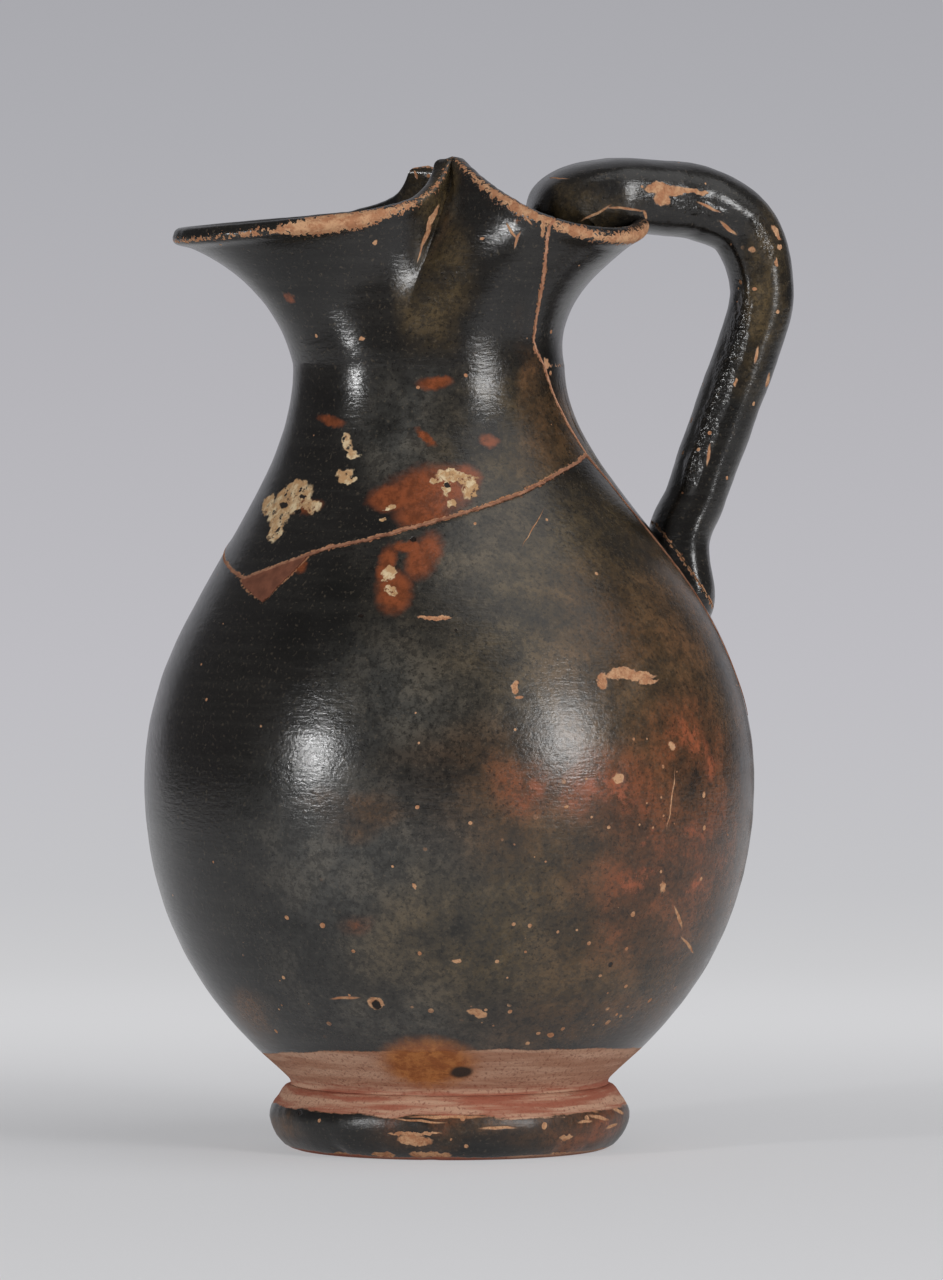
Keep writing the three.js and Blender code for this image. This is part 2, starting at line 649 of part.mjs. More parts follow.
// Plaster in the lost corner, between the belly and the shoulder seam.
function makeLostCornerFill() {
  const from = mix(LOST_CORNER_FROM, LOST_CORNER_TIP, LOST_CORNER_INSET);
  const to = mix(LOST_CORNER_TO, LOST_CORNER_TIP, LOST_CORNER_INSET);
  const between = columnsBetween(from, to);
  const sections = [];
  for (const column of [from, ...between, to]) {
    const low = bellyHead(column) + stageStep(column, bellyHead(column), JOINT_GAP);
    const high = seamFoot(column) - stageStep(column, seamFoot(column), JOINT_GAP);
    const outer = [];
    const inner = [];
    for (let j = 0; j <= LOST_CORNER_ROWS; j++) {
      const stage = mix(low, high, j / LOST_CORNER_ROWS);
      outer.push(wallPoint(column, stage, SEAM_RECESS));
      inner.push(wallPoint(column, stage, wallAt(stage) - SEAM_RECESS));
    }
    sections.push({ outer, inner });
  }
  return solidFromSections(sections, false);
}

// Foot: a turned ring with a rounded edge, hollow underneath, seated on the belly.
function makeFoot() {
  const seatTop = CREASE_HEIGHT - JOINT_GAP;
  const edge = new THREE.SplineCurve([
    new THREE.Vector2(CREASE_RADIUS + 0.2, seatTop),
    new THREE.Vector2(FOOT_RADIUS - 1.7, FOOT_WIDEST_HEIGHT + 3.3),
    new THREE.Vector2(FOOT_RADIUS, FOOT_WIDEST_HEIGHT),
    new THREE.Vector2(FOOT_RADIUS - 0.6, FOOT_WIDEST_HEIGHT - 2.4),
    new THREE.Vector2(FOOT_RADIUS - 2.2, 1),
    new THREE.Vector2(REST_OUTER_RADIUS, 0),
  ]);
  const under = new THREE.SplineCurve([
    new THREE.Vector2(REST_INNER_RADIUS, 0),
    new THREE.Vector2(FOOT_BORE_RADIUS + 0.6, 1.4),
    new THREE.Vector2(FOOT_BORE_RADIUS, 3.6),
    new THREE.Vector2(FOOT_BORE_RADIUS, seatTop - FOOT_SEAT_DEPTH),
  ]);
  const profile = [...edge.getPoints(12), ...under.getPoints(5)];
  return new THREE.LatheGeometry([...profile, profile[0]].reverse(), COLUMNS).rotateX(Math.PI / 2);
}

const materials = {
  gloss: () => new THREE.MeshStandardMaterial({ color: 0x23221f, roughness: 0.38, metalness: 0 }),
  clay: () => new THREE.MeshStandardMaterial({ color: 0xc98c6b, roughness: 0.85, metalness: 0 }),
  plaster: () => new THREE.MeshStandardMaterial({ color: 0xb9775a, roughness: 0.9, metalness: 0 }),
};

const jug = new THREE.Group();
function addPiece(name, geometry, material) {
  const mesh = new THREE.Mesh(geometry, materials[material]());
  mesh.name = name;
  jug.add(mesh);
}

addPiece("foot_ring", makeFoot(), "gloss");
addPiece("belly", makeBelly(), "gloss");
addPiece("neck_front_sherd", makeFrontSherd(), "gloss");
addPiece("neck_back_sherd", makeBackSherd(), "gloss");
addPiece("handle", makeHandle(), "gloss");
addPiece("lost_corner_fill", makeLostCornerFill(), "plaster");
addPiece("shoulder_seam_fill", makeShoulderSeam(), "plaster");
addPiece("near_neck_seam_fill", makeNeckSeam(nearBreak), "plaster");
addPiece("far_neck_seam_fill", makeNeckSeam(farBreak), "plaster");

const box = new THREE.Box3().setFromObject(jug);
jug.position.x = -(box.min.x + box.max.x) / 2;

export default jug;
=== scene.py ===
# A black-gloss trefoil jug of the kind that poured wine: a body thrown on the wheel, its mouth pinched
# into three lobes, on a luted ring foot and with a pulled strap handle. It has been broken and mended.
# Metres, +Z up, the spout along -X and the handle along +X, as in the CAD frame.
import math

import bpy
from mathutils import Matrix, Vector, kdtree, noise


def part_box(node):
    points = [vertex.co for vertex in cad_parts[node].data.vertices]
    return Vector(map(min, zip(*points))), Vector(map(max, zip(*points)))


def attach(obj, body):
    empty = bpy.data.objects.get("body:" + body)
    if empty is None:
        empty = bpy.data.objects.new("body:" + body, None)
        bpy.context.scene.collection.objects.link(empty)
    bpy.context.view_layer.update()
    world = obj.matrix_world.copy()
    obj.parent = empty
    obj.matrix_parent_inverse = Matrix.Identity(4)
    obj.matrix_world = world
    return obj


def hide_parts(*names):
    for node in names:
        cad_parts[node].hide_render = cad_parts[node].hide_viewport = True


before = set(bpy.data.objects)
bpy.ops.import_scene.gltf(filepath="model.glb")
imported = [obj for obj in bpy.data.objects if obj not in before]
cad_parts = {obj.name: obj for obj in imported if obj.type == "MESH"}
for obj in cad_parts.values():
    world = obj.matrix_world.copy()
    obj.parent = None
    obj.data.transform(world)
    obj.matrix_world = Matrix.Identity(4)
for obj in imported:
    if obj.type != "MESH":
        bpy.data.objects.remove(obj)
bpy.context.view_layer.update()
bpy.ops.object.select_all(action="DESELECT")

# The photographer's view: a long lens on the level of the mouth, turned a little towards the spout.
# The table is a sheet of pale paper that sweeps up behind the jug and fades into grey.
CAMERA_TURN = math.radians(-9)
CAMERA_DISTANCE = 1.8
CAMERA_HEIGHT = 0.157
AIM = Vector((0, 0, 0.0863))
LENS = 85
FILM_HEIGHT = 10.269
PHOTO_WIDTH, PHOTO_HEIGHT = 943, 1280

bpy.ops.object.camera_add(
    location=(
        CAMERA_DISTANCE * math.sin(CAMERA_TURN),
        -CAMERA_DISTANCE * math.cos(CAMERA_TURN),
        CAMERA_HEIGHT,
    )
)
camera = bpy.context.object
camera.name = "view"
camera.data.lens = LENS
camera.data.sensor_fit = "VERTICAL"
camera.data.sensor_height = FILM_HEIGHT
camera.rotation_euler = (AIM - camera.location).to_track_quat("-Z", "Y").to_euler()
bpy.context.scene.camera = camera
PX = FILM_HEIGHT / LENS * CAMERA_DISTANCE / PHOTO_HEIGHT  # one pixel of the photograph, on the jug


def seen_at(piece, px, py):
    """The point of a piece that shows at a pixel of the photograph, or lies nearest to it."""
    turn = camera.rotation_euler.to_matrix()
    step = FILM_HEIGHT / LENS / PHOTO_HEIGHT
    ray = turn @ Vector(((px - PHOTO_WIDTH / 2) * step, (PHOTO_HEIGHT / 2 - py) * step, -1))
    hit, place, _, _ = piece.ray_cast(camera.location, ray.normalized())
    if not hit:
        _, place, _, _ = piece.closest_point_on_mesh(camera.location + ray * CAMERA_DISTANCE)
    return place


SWEEP_START, SWEEP_RADIUS, SWEEP_TURN, SWEEP_STEPS = 0.42, 0.35, math.radians(-80), 24
SWEEP_TOP = Vector((0, 0.35, 2.4))  # how much farther back and up the sheet runs from there
bpy.ops.mesh.primitive_plane_add(size=1, location=(0, 0, 0))
paper = bpy.context.object
paper.name = "paper_sweep"
paper.rotation_euler = (0, 0, CAMERA_TURN)
bpy.ops.object.transform_apply(rotation=True)
away = Vector((-math.sin(CAMERA_TURN), math.cos(CAMERA_TURN), 0))
across = Vector((math.cos(CAMERA_TURN), math.sin(CAMERA_TURN), 0))
for vertex, (side, back) in zip(paper.data.vertices, ((-0.6, -0.8), (0.6, -0.8), (-0.6, 1), (0.6, 1))):
    vertex.co = across * side + away * (back if back < 0 else SWEEP_START)
bpy.ops.object.mode_set(mode="EDIT")
bpy.ops.mesh.select_all(action="DESELECT")
bpy.ops.object.mode_set(mode="OBJECT")
for vertex in paper.data.vertices:
    vertex.select = vertex.co.dot(away) > 0
for edge in paper.data.edges:
    edge.select = all(paper.data.vertices[i].select for i in edge.vertices)
bpy.ops.object.mode_set(mode="EDIT")
bpy.ops.mesh.spin(
    steps=SWEEP_STEPS,
    angle=SWEEP_TURN,
    center=away * SWEEP_START + Vector((0, 0, SWEEP_RADIUS)),
    axis=across,
)
bpy.ops.mesh.extrude_region_move(
    TRANSFORM_OT_translate={"value": away * SWEEP_TOP.y + Vector((0, 0, SWEEP_TOP.z))}
)
bpy.ops.object.mode_set(mode="OBJECT")
bpy.ops.object.shade_smooth()


def linear(hex_colour):
    """A colour in the renderer's linear light, from its hex code."""
    channels = [int(hex_colour[i : i + 2], 16) / 255 for i in (1, 3, 5)]
    curve = [c / 12.92 if c <= 0.04045 else ((c + 0.055) / 1.055) ** 2.4 for c in channels]
    return (*curve, 1.0)


def add_node(tree, kind, settings=None, inputs=None):
    """Adds a node with its settings and inputs; an input is a value or another node's socket."""
    node = tree.nodes.new(kind)
    for name, value in (settings or {}).items():
        setattr(node, name, value)
    for name, value in (inputs or {}).items():
        if isinstance(value, bpy.types.NodeSocket):
            tree.links.new(value, node.inputs[name])
        else:
            node.inputs[name].default_value = value
    return node


def arithmetic(tree, operation, *terms):
    return add_node(
        tree, "ShaderNodeMath", {"operation": operation}, dict(enumerate(terms))
    ).outputs["Value"]


# Matte paper (roughness about 0.9). The eye, and the gloss that mirrors it, see a grey that the sheet gives
# off itself:
# painted shade, paler low down and darker up the sweep where less light reaches it; about half of the light
# that falls on it stays in view near the jug, and with it the jug's soft shadow.
paper_look = bpy.data.materials.new("matte pale paper")
paper_look.use_nodes = True
tree = paper_look.node_tree
shader = tree.nodes["Principled BSDF"]
shader.inputs["Base Color"].default_value = linear("#e2e2e4")
shader.inputs["Roughness"].default_value = 0.9
place = add_node(tree, "ShaderNodeTexCoord")
depth = add_node(
    tree, "ShaderNodeVectorMath", {"operation": "DOT_PRODUCT"},
    {0: place.outputs["Object"], 1: away},
)
height = add_node(tree, "ShaderNodeSeparateXYZ", None, {0: place.outputs["Object"]})
fade = add_node(
    tree, "ShaderNodeMapRange", {"interpolation_type": "SMOOTHSTEP"},
    {"Value": depth.outputs["Value"], "From Min": 0.02, "From Max": 0.3, "To Min": 0.5, "To Max": 1.0},
)
# how far up the sheet a place is: floor first, then three times its height on the sweep
up_sheet = arithmetic(tree, "MULTIPLY_ADD", height.outputs["Z"], 3.0, depth.outputs["Value"])
grey = add_node(
    tree, "ShaderNodeMapRange", None,
    {"Value": up_sheet, "From Min": -0.3, "From Max": 1.5},
)
# painted shade: the grey darkens up the sweep, in place of the light falling off there
painted_sheet_shade = add_node(tree, "ShaderNodeValToRGB", None, {"Fac": grey.outputs["Result"]})
painted_sheet_shade.color_ramp.elements[0].color = linear("#dcdcde")
painted_sheet_shade.color_ramp.elements[1].color = linear("#a5a5aa")
for position, tone in (
    (0.2, "#d6d6d8"), (0.36, "#d0d0d2"), (0.42, "#cacacc"), (0.47, "#c4c4c7"), (0.6, "#bebdc2"),
    (0.75, "#b5b4b9"), (0.87, "#adadb2"),
):
    painted_sheet_shade.color_ramp.elements.new(position).color = linear(tone)
glow = add_node(tree, "ShaderNodeEmission", None, {"Color": painted_sheet_shade.outputs["Color"], "Strength": 1.0})
path = add_node(tree, "ShaderNodeLightPath")
seen = path.outputs["Is Camera Ray"]
for ray in ("Is Glossy Ray", "Is Transmission Ray"):
    seen = arithmetic(tree, "MAXIMUM", seen, path.outputs[ray])
seen = arithmetic(tree, "MULTIPLY", seen, fade.outputs["Result"])
both = add_node(
    tree, "ShaderNodeMixShader", None,
    {"Fac": seen, 1: shader.outputs["BSDF"], 2: glow.outputs["Emission"]},
)
tree.links.new(both.outputs["Shader"], tree.nodes["Material Output"].inputs["Surface"])
paper.data.materials.append(paper_look)

# Two soft boxes stand level with the jug on either side of the lens, and a third hangs overhead.
LAMP_AIM = Vector((0, 0, 0.08))
for label, turn_deg, rise_deg, distance, width, tall, watts in (
    ("soft box right", 36, 15, 1.0, 0.26, 0.3, 4.4),
    ("soft box left", -60, 9, 1.0, 0.08, 0.1, 3.6),
    ("soft box overhead", 50, 58, 1.5, 1.4, 1.4, 6.5),
):
    turn, rise = math.radians(turn_deg), math.radians(rise_deg)
    stand = Vector((math.sin(turn) * math.cos(rise), -math.cos(turn) * math.cos(rise), math.sin(rise)))
    bpy.ops.object.light_add(type="AREA", location=stand * distance + LAMP_AIM)
    lamp = bpy.context.object
    lamp.name = label.replace(" ", "_")
    lamp.data.shape = "RECTANGLE"
    lamp.data.size, lamp.data.size_y = width, tall
    lamp.data.energy = watts
    lamp.rotation_euler = (-stand).to_track_quat("-Z", "Y").to_euler()
world = bpy.data.worlds.new("studio")
world.use_nodes = True
world.node_tree.nodes["Background"].inputs["Color"].default_value = linear("#8c8c90")
world.node_tree.nodes["Background"].inputs["Strength"].default_value = 0.35
bpy.context.scene.world = world
bpy.context.scene.view_settings.view_transform = "Standard"


# Belly: the lower part of the thrown body, with its floor, up to the break that runs round the
# shoulder. Iron-rich clay turned leather-hard and brushed with a fine slip that fires black and
# glossy; the band over the foot was left in plain clay.
MM = 0.001  # in metres; the sizes below are in mm
BELLY_RADIUS, BELLY_HEIGHT, BELLY_FALL, SHOULDER_RISE = 52.1, 62, 35.4, 33.6
NECK_RADIUS, NECK_HEIGHT, NECK_FALL = 23.3, 133, 22.1
NECK_LEAN, LEAN_FROM_HEIGHT, NECK_SQUEEZE = -3.55, 91, 0.94
CREASE_RADIUS, CREASE_HEIGHT = 27.1, 10.9
WALL_AT_BELLY, WALL_AT_LIP, WALL_EXTRA_AT_FOOT = 3.6, 3, 0.6
FLOOR_THICKNESS, FLOOR_RISE = 4.6, 1.6
FOOT_BORE_RADIUS, FOOT_SEAT_DEPTH = 18.6, 3.7
PINCH_BEARING = math.radians(72)
PINCH_SHARE = PINCH_BEARING / math.tau
NECK_VALLEY, NECK_VALLEY_SPREAD = 1.3, math.radians(17)
foot_low, foot_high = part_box("foot_ring")
AXIS = Vector(((foot_low[0] + foot_high[0]) / 2 / MM, 0, 0))  # the axis that the jug was thrown on


def ramp(low, high, value):
    t = min(1, max(0, (value - low) / (high - low)))
    return t * t * (3 - 2 * t)


def mix(a, b, t):
    return a + (b - a) * t


def bend(a, b, c, d, t):
    """A point on the curve from a to d that sets off towards b and arrives from c."""
    s = 1 - t
    return a * (s * s * s) + b * (3 * s * s * t) + c * (3 * s * t * t) + d * (t * t * t)


def bearing_of(column):
    half = column if column <= 0.5 else 1 - column
    if half <= PINCH_SHARE:
        bearing = half * math.tau
    else:
        bearing = mix(PINCH_BEARING, math.pi, (half - PINCH_SHARE) / (0.5 - PINCH_SHARE))
    return bearing if column <= 0.5 else math.tau - bearing


LOWER = [Vector(p) for p in (
    (CREASE_RADIUS, CREASE_HEIGHT), (CREASE_RADIUS - 0.8, CREASE_HEIGHT + 1.9),
    (BELLY_RADIUS, BELLY_HEIGHT - BELLY_FALL), (BELLY_RADIUS, BELLY_HEIGHT),
)]
UPPER = [Vector(p) for p in (
    (BELLY_RADIUS, BELLY_HEIGHT), (BELLY_RADIUS, BELLY_HEIGHT + SHOULDER_RISE),
    (NECK_RADIUS, NECK_HEIGHT - NECK_FALL), (NECK_RADIUS, NECK_HEIGHT),
)]


def thrown_point(column, stage):
    """Outer surface below the neck. Stage 0 is the crease over the foot, 1 the belly, 2 the neck."""
    bearing = bearing_of(column)
    radius, height = bend(*LOWER, stage) if stage <= 1 else bend(*UPPER, stage - 1)
    pull = ramp(LEAN_FROM_HEIGHT, NECK_HEIGHT, height)
    if pull:
        fold = (min(bearing, math.tau - bearing) - PINCH_BEARING) / NECK_VALLEY_SPREAD
        radius -= NECK_VALLEY * pull * math.exp(-fold * fold)
    return Vector((
        NECK_LEAN * pull - radius * math.cos(bearing),
        -radius * mix(1, NECK_SQUEEZE, pull) * math.sin(bearing),
        height,
    ))


# The pinched mouth: a ring along the lip and one in the throat under it. Each half ring is a curve
# round the spout and one round the side lobe, which meet in the cusp of the pinch.
SPOUT_REACH, SPOUT_HALF_WIDTH, SPOUT_LIP_HEIGHT = 46.4, 20.5, 153.4
BACK_REACH, BACK_LIP_HEIGHT = 33.1, 157.5
SIDE_LOBE_HALF_WIDTH, SIDE_LOBE_DIP = 28, 154.6
PINCH_HALF_GAP, PINCH_AT, PINCH_HEIGHT, PINCH_SHOULDER = 9.8, -1.2, 167.6, 6.6
FOLD_STEEPNESS, FAR_PINCH_DROP, FAR_PINCH_LEAD = 9, 1.6, 1.5


def trefoil(reach, width, spout_height, back, side, dip, back_height, at, gap, peak, shoulder):
    cusp = Vector((at, -gap, peak))
    spout = (
        Vector((-reach, 0, spout_height)), Vector((-reach, -width, spout_height)),
        Vector((at - 0.2 * reach, -1.43 * width, spout_height + 0.6 * shoulder)),
        Vector((at, -gap, spout_height + shoulder)),
    )
    lobe = (
        cusp, Vector((mix(at, back, 0.26), -1.33 * side, dip - 2)),
        Vector((back, -1.14 * side, 2 * dip - back_height - 1)), Vector((back, 0, back_height)),
    )
    return spout, lobe, peak - spout_height - shoulder


LIP = trefoil(
    SPOUT_REACH, SPOUT_HALF_WIDTH, SPOUT_LIP_HEIGHT, BACK_REACH, SIDE_LOBE_HALF_WIDTH, SIDE_LOBE_DIP,
    BACK_LIP_HEIGHT, PINCH_AT, PINCH_HALF_GAP, PINCH_HEIGHT, PINCH_SHOULDER,
)
THROAT = trefoil(
    SPOUT_REACH - 8.8, SPOUT_HALF_WIDTH - 4.5, SPOUT_LIP_HEIGHT - 2.8, BACK_REACH - 6.8,
    SIDE_LOBE_HALF_WIDTH - 5.5, SIDE_LOBE_DIP - 5, BACK_LIP_HEIGHT - 7, PINCH_AT - 1.2,
    PINCH_HALF_GAP + 3.2, PINCH_HEIGHT - 11, PINCH_SHOULDER - 4,
)


def on_trefoil(ring, column):
    spout, lobe, climb = ring
    half = column if column <= 0.5 else 1 - column
    if half <= PINCH_SHARE:
        nearness = half / PINCH_SHARE
        point = bend(*spout, nearness)
        point.z += climb * nearness**FOLD_STEEPNESS
    else:
        share = (half - PINCH_SHARE) / (0.5 - PINCH_SHARE)
        nearness = 1 - share
        point = bend(*lobe, share)
    if column > 0.5:
        point.y = -point.y
        point.z -= FAR_PINCH_DROP * nearness**3
        point.x -= FAR_PINCH_LEAD * nearness**6
    return point


RISE_FROM_NECK = Vector((0.65 * NECK_LEAN, 0, (SPOUT_LIP_HEIGHT - NECK_HEIGHT) / 2))


def outer_point(column, stage):
    """Outer surface of the whole wall. Stage 2 to 3 is the mouth."""
    column %= 1
    if stage <= 2:
        return thrown_point(column, stage)
    start = thrown_point(column, 2)
    return bend(
        start, start + RISE_FROM_NECK, on_trefoil(THROAT, column), on_trefoil(LIP, column), stage - 2
    )


STEP = 1e-3
HALVINGS = 22


def wall_axes(column, stage):
    s = min(stage, 3 - STEP)
    up = outer_point(column, s + STEP) - outer_point(column, max(0, s - STEP))
    round_ = outer_point(column + STEP, s) - outer_point(column - STEP, s)
    return round_.cross(up).normalized(), up.normalized()


def wall_at(stage):
    return mix(WALL_AT_BELLY, WALL_AT_LIP, ramp(1.2, 2.8, stage))


def hand_wobble(point):
    """How far the thrown wall stands off its ideal form, in mm: slow waves and faint throwing rings."""
    slow = noise.noise(point * 0.035)
    rings = noise.noise(Vector((point.x * 0.01, point.y * 0.01, point.z * 0.33 + 7)))
    return 0.1 * slow + 0.06 * rings - 0.25


def stage_at(column, height):
    low, high = 0, 2
    for _ in range(HALVINGS):
        middle = (low + high) / 2
        if thrown_point(column, middle).z < height:
            low = middle
        else:
            high = middle
    return low


# The shoulder break: shares of the way round from under the spout, and heights over its start.
SHOULDER_BREAK_HEIGHT = 100.8
BREAK_CORNERS = (
    (0, 0), (0.037, -1.8), (0.064, -3.2), (0.116, 0.7), (0.136, 2.3), (0.165, 3.6), (0.203, 5.8),
    (0.26, 9), (0.295, 11), (0.327, 13), (0.362, 15), (0.424, 17.4), (0.438, 13), (0.446, 5),
    (0.455, -8), (0.463, -21), (0.479, -27), (0.52, -29.5), (0.56, -26), (0.6, -16), (0.66, -3),
    (0.78, 3), (0.9, 3.4), (0.97, 1.8), (1, 0),
)
LOST_CORNER = (0.06, 0.094, 0.12)
LOST_CORNER_DEPTH = 6.4
SEAM_WIDTH = 0.44
BREAK_LENGTH = 300  # about, round the jug
BREAK_STEPS = 1440


def on_line(corners, at):
    """The height at a place on a line of straight stretches between corners."""
    for (start, low), (end, high) in zip(corners, corners[1:]):
        if at <= end:
            return mix(low, high, (at - start) / (end - start))


def break_height(column):
    return SHOULDER_BREAK_HEIGHT + on_line(BREAK_CORNERS, column % 1)


def ragged(along, seed):
    """How far a break strays from its line, in mm, at a place along it, in mm."""
    return 0.22 * noise.noise(Vector((along * 0.35, seed, 0))) + 0.16 * noise.noise(
        Vector((along * 1.3, seed, 5))
    )


def beside_break(column, distance):
    height = break_height(column)
    stage = stage_at(column, height)
    here = thrown_point(column % 1, stage)
    round_ = (outer_point(column + STEP, stage) - here).length
    climb = (outer_point(column, stage + STEP) - here).length
    slope = (break_height(column + STEP) - break_height(column - STEP)) / (2 * round_)
    along = BREAK_LENGTH * (column % 1)
    # the line closes on itself where its ends meet
    off = distance + ragged(along, 1) * min(1, 20 * min(column % 1, 1 - column % 1))
    return stage + off * math.hypot(1, slope) * STEP / climb


def table_of(function):
    values = [function(i / BREAK_STEPS) for i in range(BREAK_STEPS + 1)]

    def look_up(column):
        at = (column % 1) * BREAK_STEPS
        return mix(values[int(at)], values[int(at) + 1 if at < BREAK_STEPS else int(at)], at % 1)

    return look_up


def lost_corner_depth(column):
    start, tip, end = LOST_CORNER
    rising, falling = (column % 1 - start) / (tip - start), (end - column % 1) / (end - tip)
    share = max(0, min(rising, falling))
    chipped = noise.noise(Vector((column * 260, 3, 8))) + 0.6 * noise.noise(Vector((column * 700, 5, 8)))
    return LOST_CORNER_DEPTH * share * (0.97 + 0.1 * chipped)


def belly_edge(column):
    return beside_break(column, -SEAM_WIDTH / 2 - lost_corner_depth(column))


belly_head = table_of(belly_edge)
sherd_foot = table_of(lambda column: beside_break(column, SEAM_WIDTH / 2))
seam_middle = table_of(lambda column: beside_break(column, 0))


def wrap_sheet(name, rows):
    """Wraps a flat sheet onto rows of points, and joins its edges where they meet."""
    bpy.ops.mesh.primitive_grid_add(x_subdivisions=len(rows[0]) - 1, y_subdivisions=len(rows) - 1)
    sheet = bpy.context.object
    sheet.name = name
    flat = [value * MM for row in rows for point in row for value in (point + AXIS)]
    sheet.data.vertices.foreach_set("co", flat)
    sheet.data.update()
    bpy.ops.object.mode_set(mode="EDIT")
    bpy.ops.mesh.select_all(action="SELECT")
    bpy.ops.mesh.remove_doubles(threshold=1e-6)
    bpy.ops.mesh.dissolve_degenerate(threshold=1e-7)
    bpy.ops.mesh.normals_make_consistent(inside=False)
    bpy.ops.mesh.select_all(action="DESELECT")
    bpy.ops.object.mode_set(mode="OBJECT")
    return sheet


BELLY_COLUMNS, BELLY_ROWS, BELLY_INNER_ROWS = 300, 104, 34
WALL_ROOT_STAGE = 0.07
EDGE_WEAR = 0.12  # how far the wall's very edge lies back at a break
SMOOTH_UNDER = math.radians(50)
rows = []
for i in range(BELLY_COLUMNS + 1):
    column = i / BELLY_COLUMNS
    bearing = bearing_of(column % 1)
    spoke = Vector((-math.cos(bearing), -math.sin(bearing), 0))
    seat = Vector((0, 0, CREASE_HEIGHT - FOOT_SEAT_DEPTH))
    floor = seat + Vector((0, 0, FLOOR_THICKNESS))
    loop = [seat, seat + spoke * FOOT_BORE_RADIUS]
    head = belly_head(column)
    for j in range(BELLY_ROWS + 1):
        # rows crowd towards the break, whose edge is worn round
        stage = head * (1 - (1 - j / BELLY_ROWS) ** 1.15)
        point = outer_point(column, stage)
        outward, _ = wall_axes(column, stage)
        rounding = EDGE_WEAR if j == BELLY_ROWS else 0
        loop.append(point + outward * (hand_wobble(point) * ramp(0, 0.1, stage) - rounding))
    for j in range(BELLY_INNER_ROWS, -1, -1):
        stage = max(head * j / BELLY_INNER_ROWS, WALL_ROOT_STAGE)
        thickness = wall_at(stage) + WALL_EXTRA_AT_FOOT * (1 - ramp(0, 0.4, stage))
        outward, _ = wall_axes(column, stage)
        loop.append(outer_point(column, stage) - outward * thickness)
    loop += [floor + spoke * (FOOT_BORE_RADIUS + 1.5) + Vector((0, 0, FLOOR_RISE)), floor]
    rows.append(loop + [seat])
belly = wrap_sheet("belly_wall", rows)
bpy.ops.object.shade_smooth_by_angle(angle=SMOOTH_UNDER)


def dent(piece, spots):
    """Presses shallow hollows into a surface: each the pixel where it shows, and its radius and depth."""
    spots = [(seen_at(piece, px, py), radius * MM, depth * MM) for px, py, radius, depth in spots]
    normals = [vertex.normal.copy() for vertex in piece.data.vertices]
    for vertex, normal in zip(piece.data.vertices, normals):
        for place, radius, depth in spots:
            away_from = (vertex.co - place).length / radius
            if away_from < 1:
                vertex.co -= normal * depth * (1 - away_from * away_from) ** 2
    piece.data.update()


def mark_distance(piece, name, line, widths=None):
    """Stores on each vertex how far it is from a line of points, in mm, less the line's own width."""
    tree = kdtree.KDTree(len(line))
    for i, point in enumerate(line):
        tree.insert((point + AXIS) * MM, i)
    tree.balance()
    distances = []
    for vertex in piece.data.vertices:
        _, i, distance = tree.find(vertex.co)
        distances.append(min(distance / MM, 20) - (widths[i] if widths else 0))
    piece.data.attributes.new(name, "FLOAT", "POINT").data.foreach_set("value", distances)


# The lip is worn along its outer edge: columns and the width that is worn off there.
LIP_WEAR_ANGLE = math.radians(38)
LIP_WEAR_WIDTHS = (
    (0, 0.3), (0.04, 0.25), (0.085, 0.5), (0.095, 1.7), (0.11, 2.1), (0.13, 2), (0.145, 1.1),
    (0.17, 0.5), (0.185, 0.2), (0.2, 0), (0.21, 0.2), (0.225, 0.6), (0.25, 0.9), (0.275, 1.3),
    (0.29, 0.9), (0.305, 0.9), (0.34, 1.2), (0.36, 0.8), (0.38, 0.9), (0.41, 1.5), (0.45, 1.4),
    (0.5, 0.7), (0.62, 0.5), (0.7, 1), (0.77, 0.9), (0.79, 1.6), (0.815, 1.6), (0.84, 0.7),
    (0.9, 0.2), (1, 0.3),
)
LINE_STEPS = 900
lip_line, lip_widths = [], []
for i in range(LINE_STEPS):
    column = i / LINE_STEPS
    outward, up = wall_axes(column, 3)
    half = WALL_AT_LIP / 2
    lip_line.append(
        outer_point(column, 3) - outward * half * (1 - math.cos(LIP_WEAR_ANGLE))
        + up * half * math.sin(LIP_WEAR_ANGLE)
    )
    lip_widths.append(on_line(LIP_WEAR_WIDTHS, column))
shoulder_line = [
    outer_point(i / BREAK_STEPS, seam_middle(i / BREAK_STEPS)) for i in range(BREAK_STEPS)
]
corner_line = [
    outer_point(i / BREAK_STEPS, belly_head(i / BREAK_STEPS))
    for i in range(BREAK_STEPS) if lost_corner_depth(i / BREAK_STEPS) > 0
]


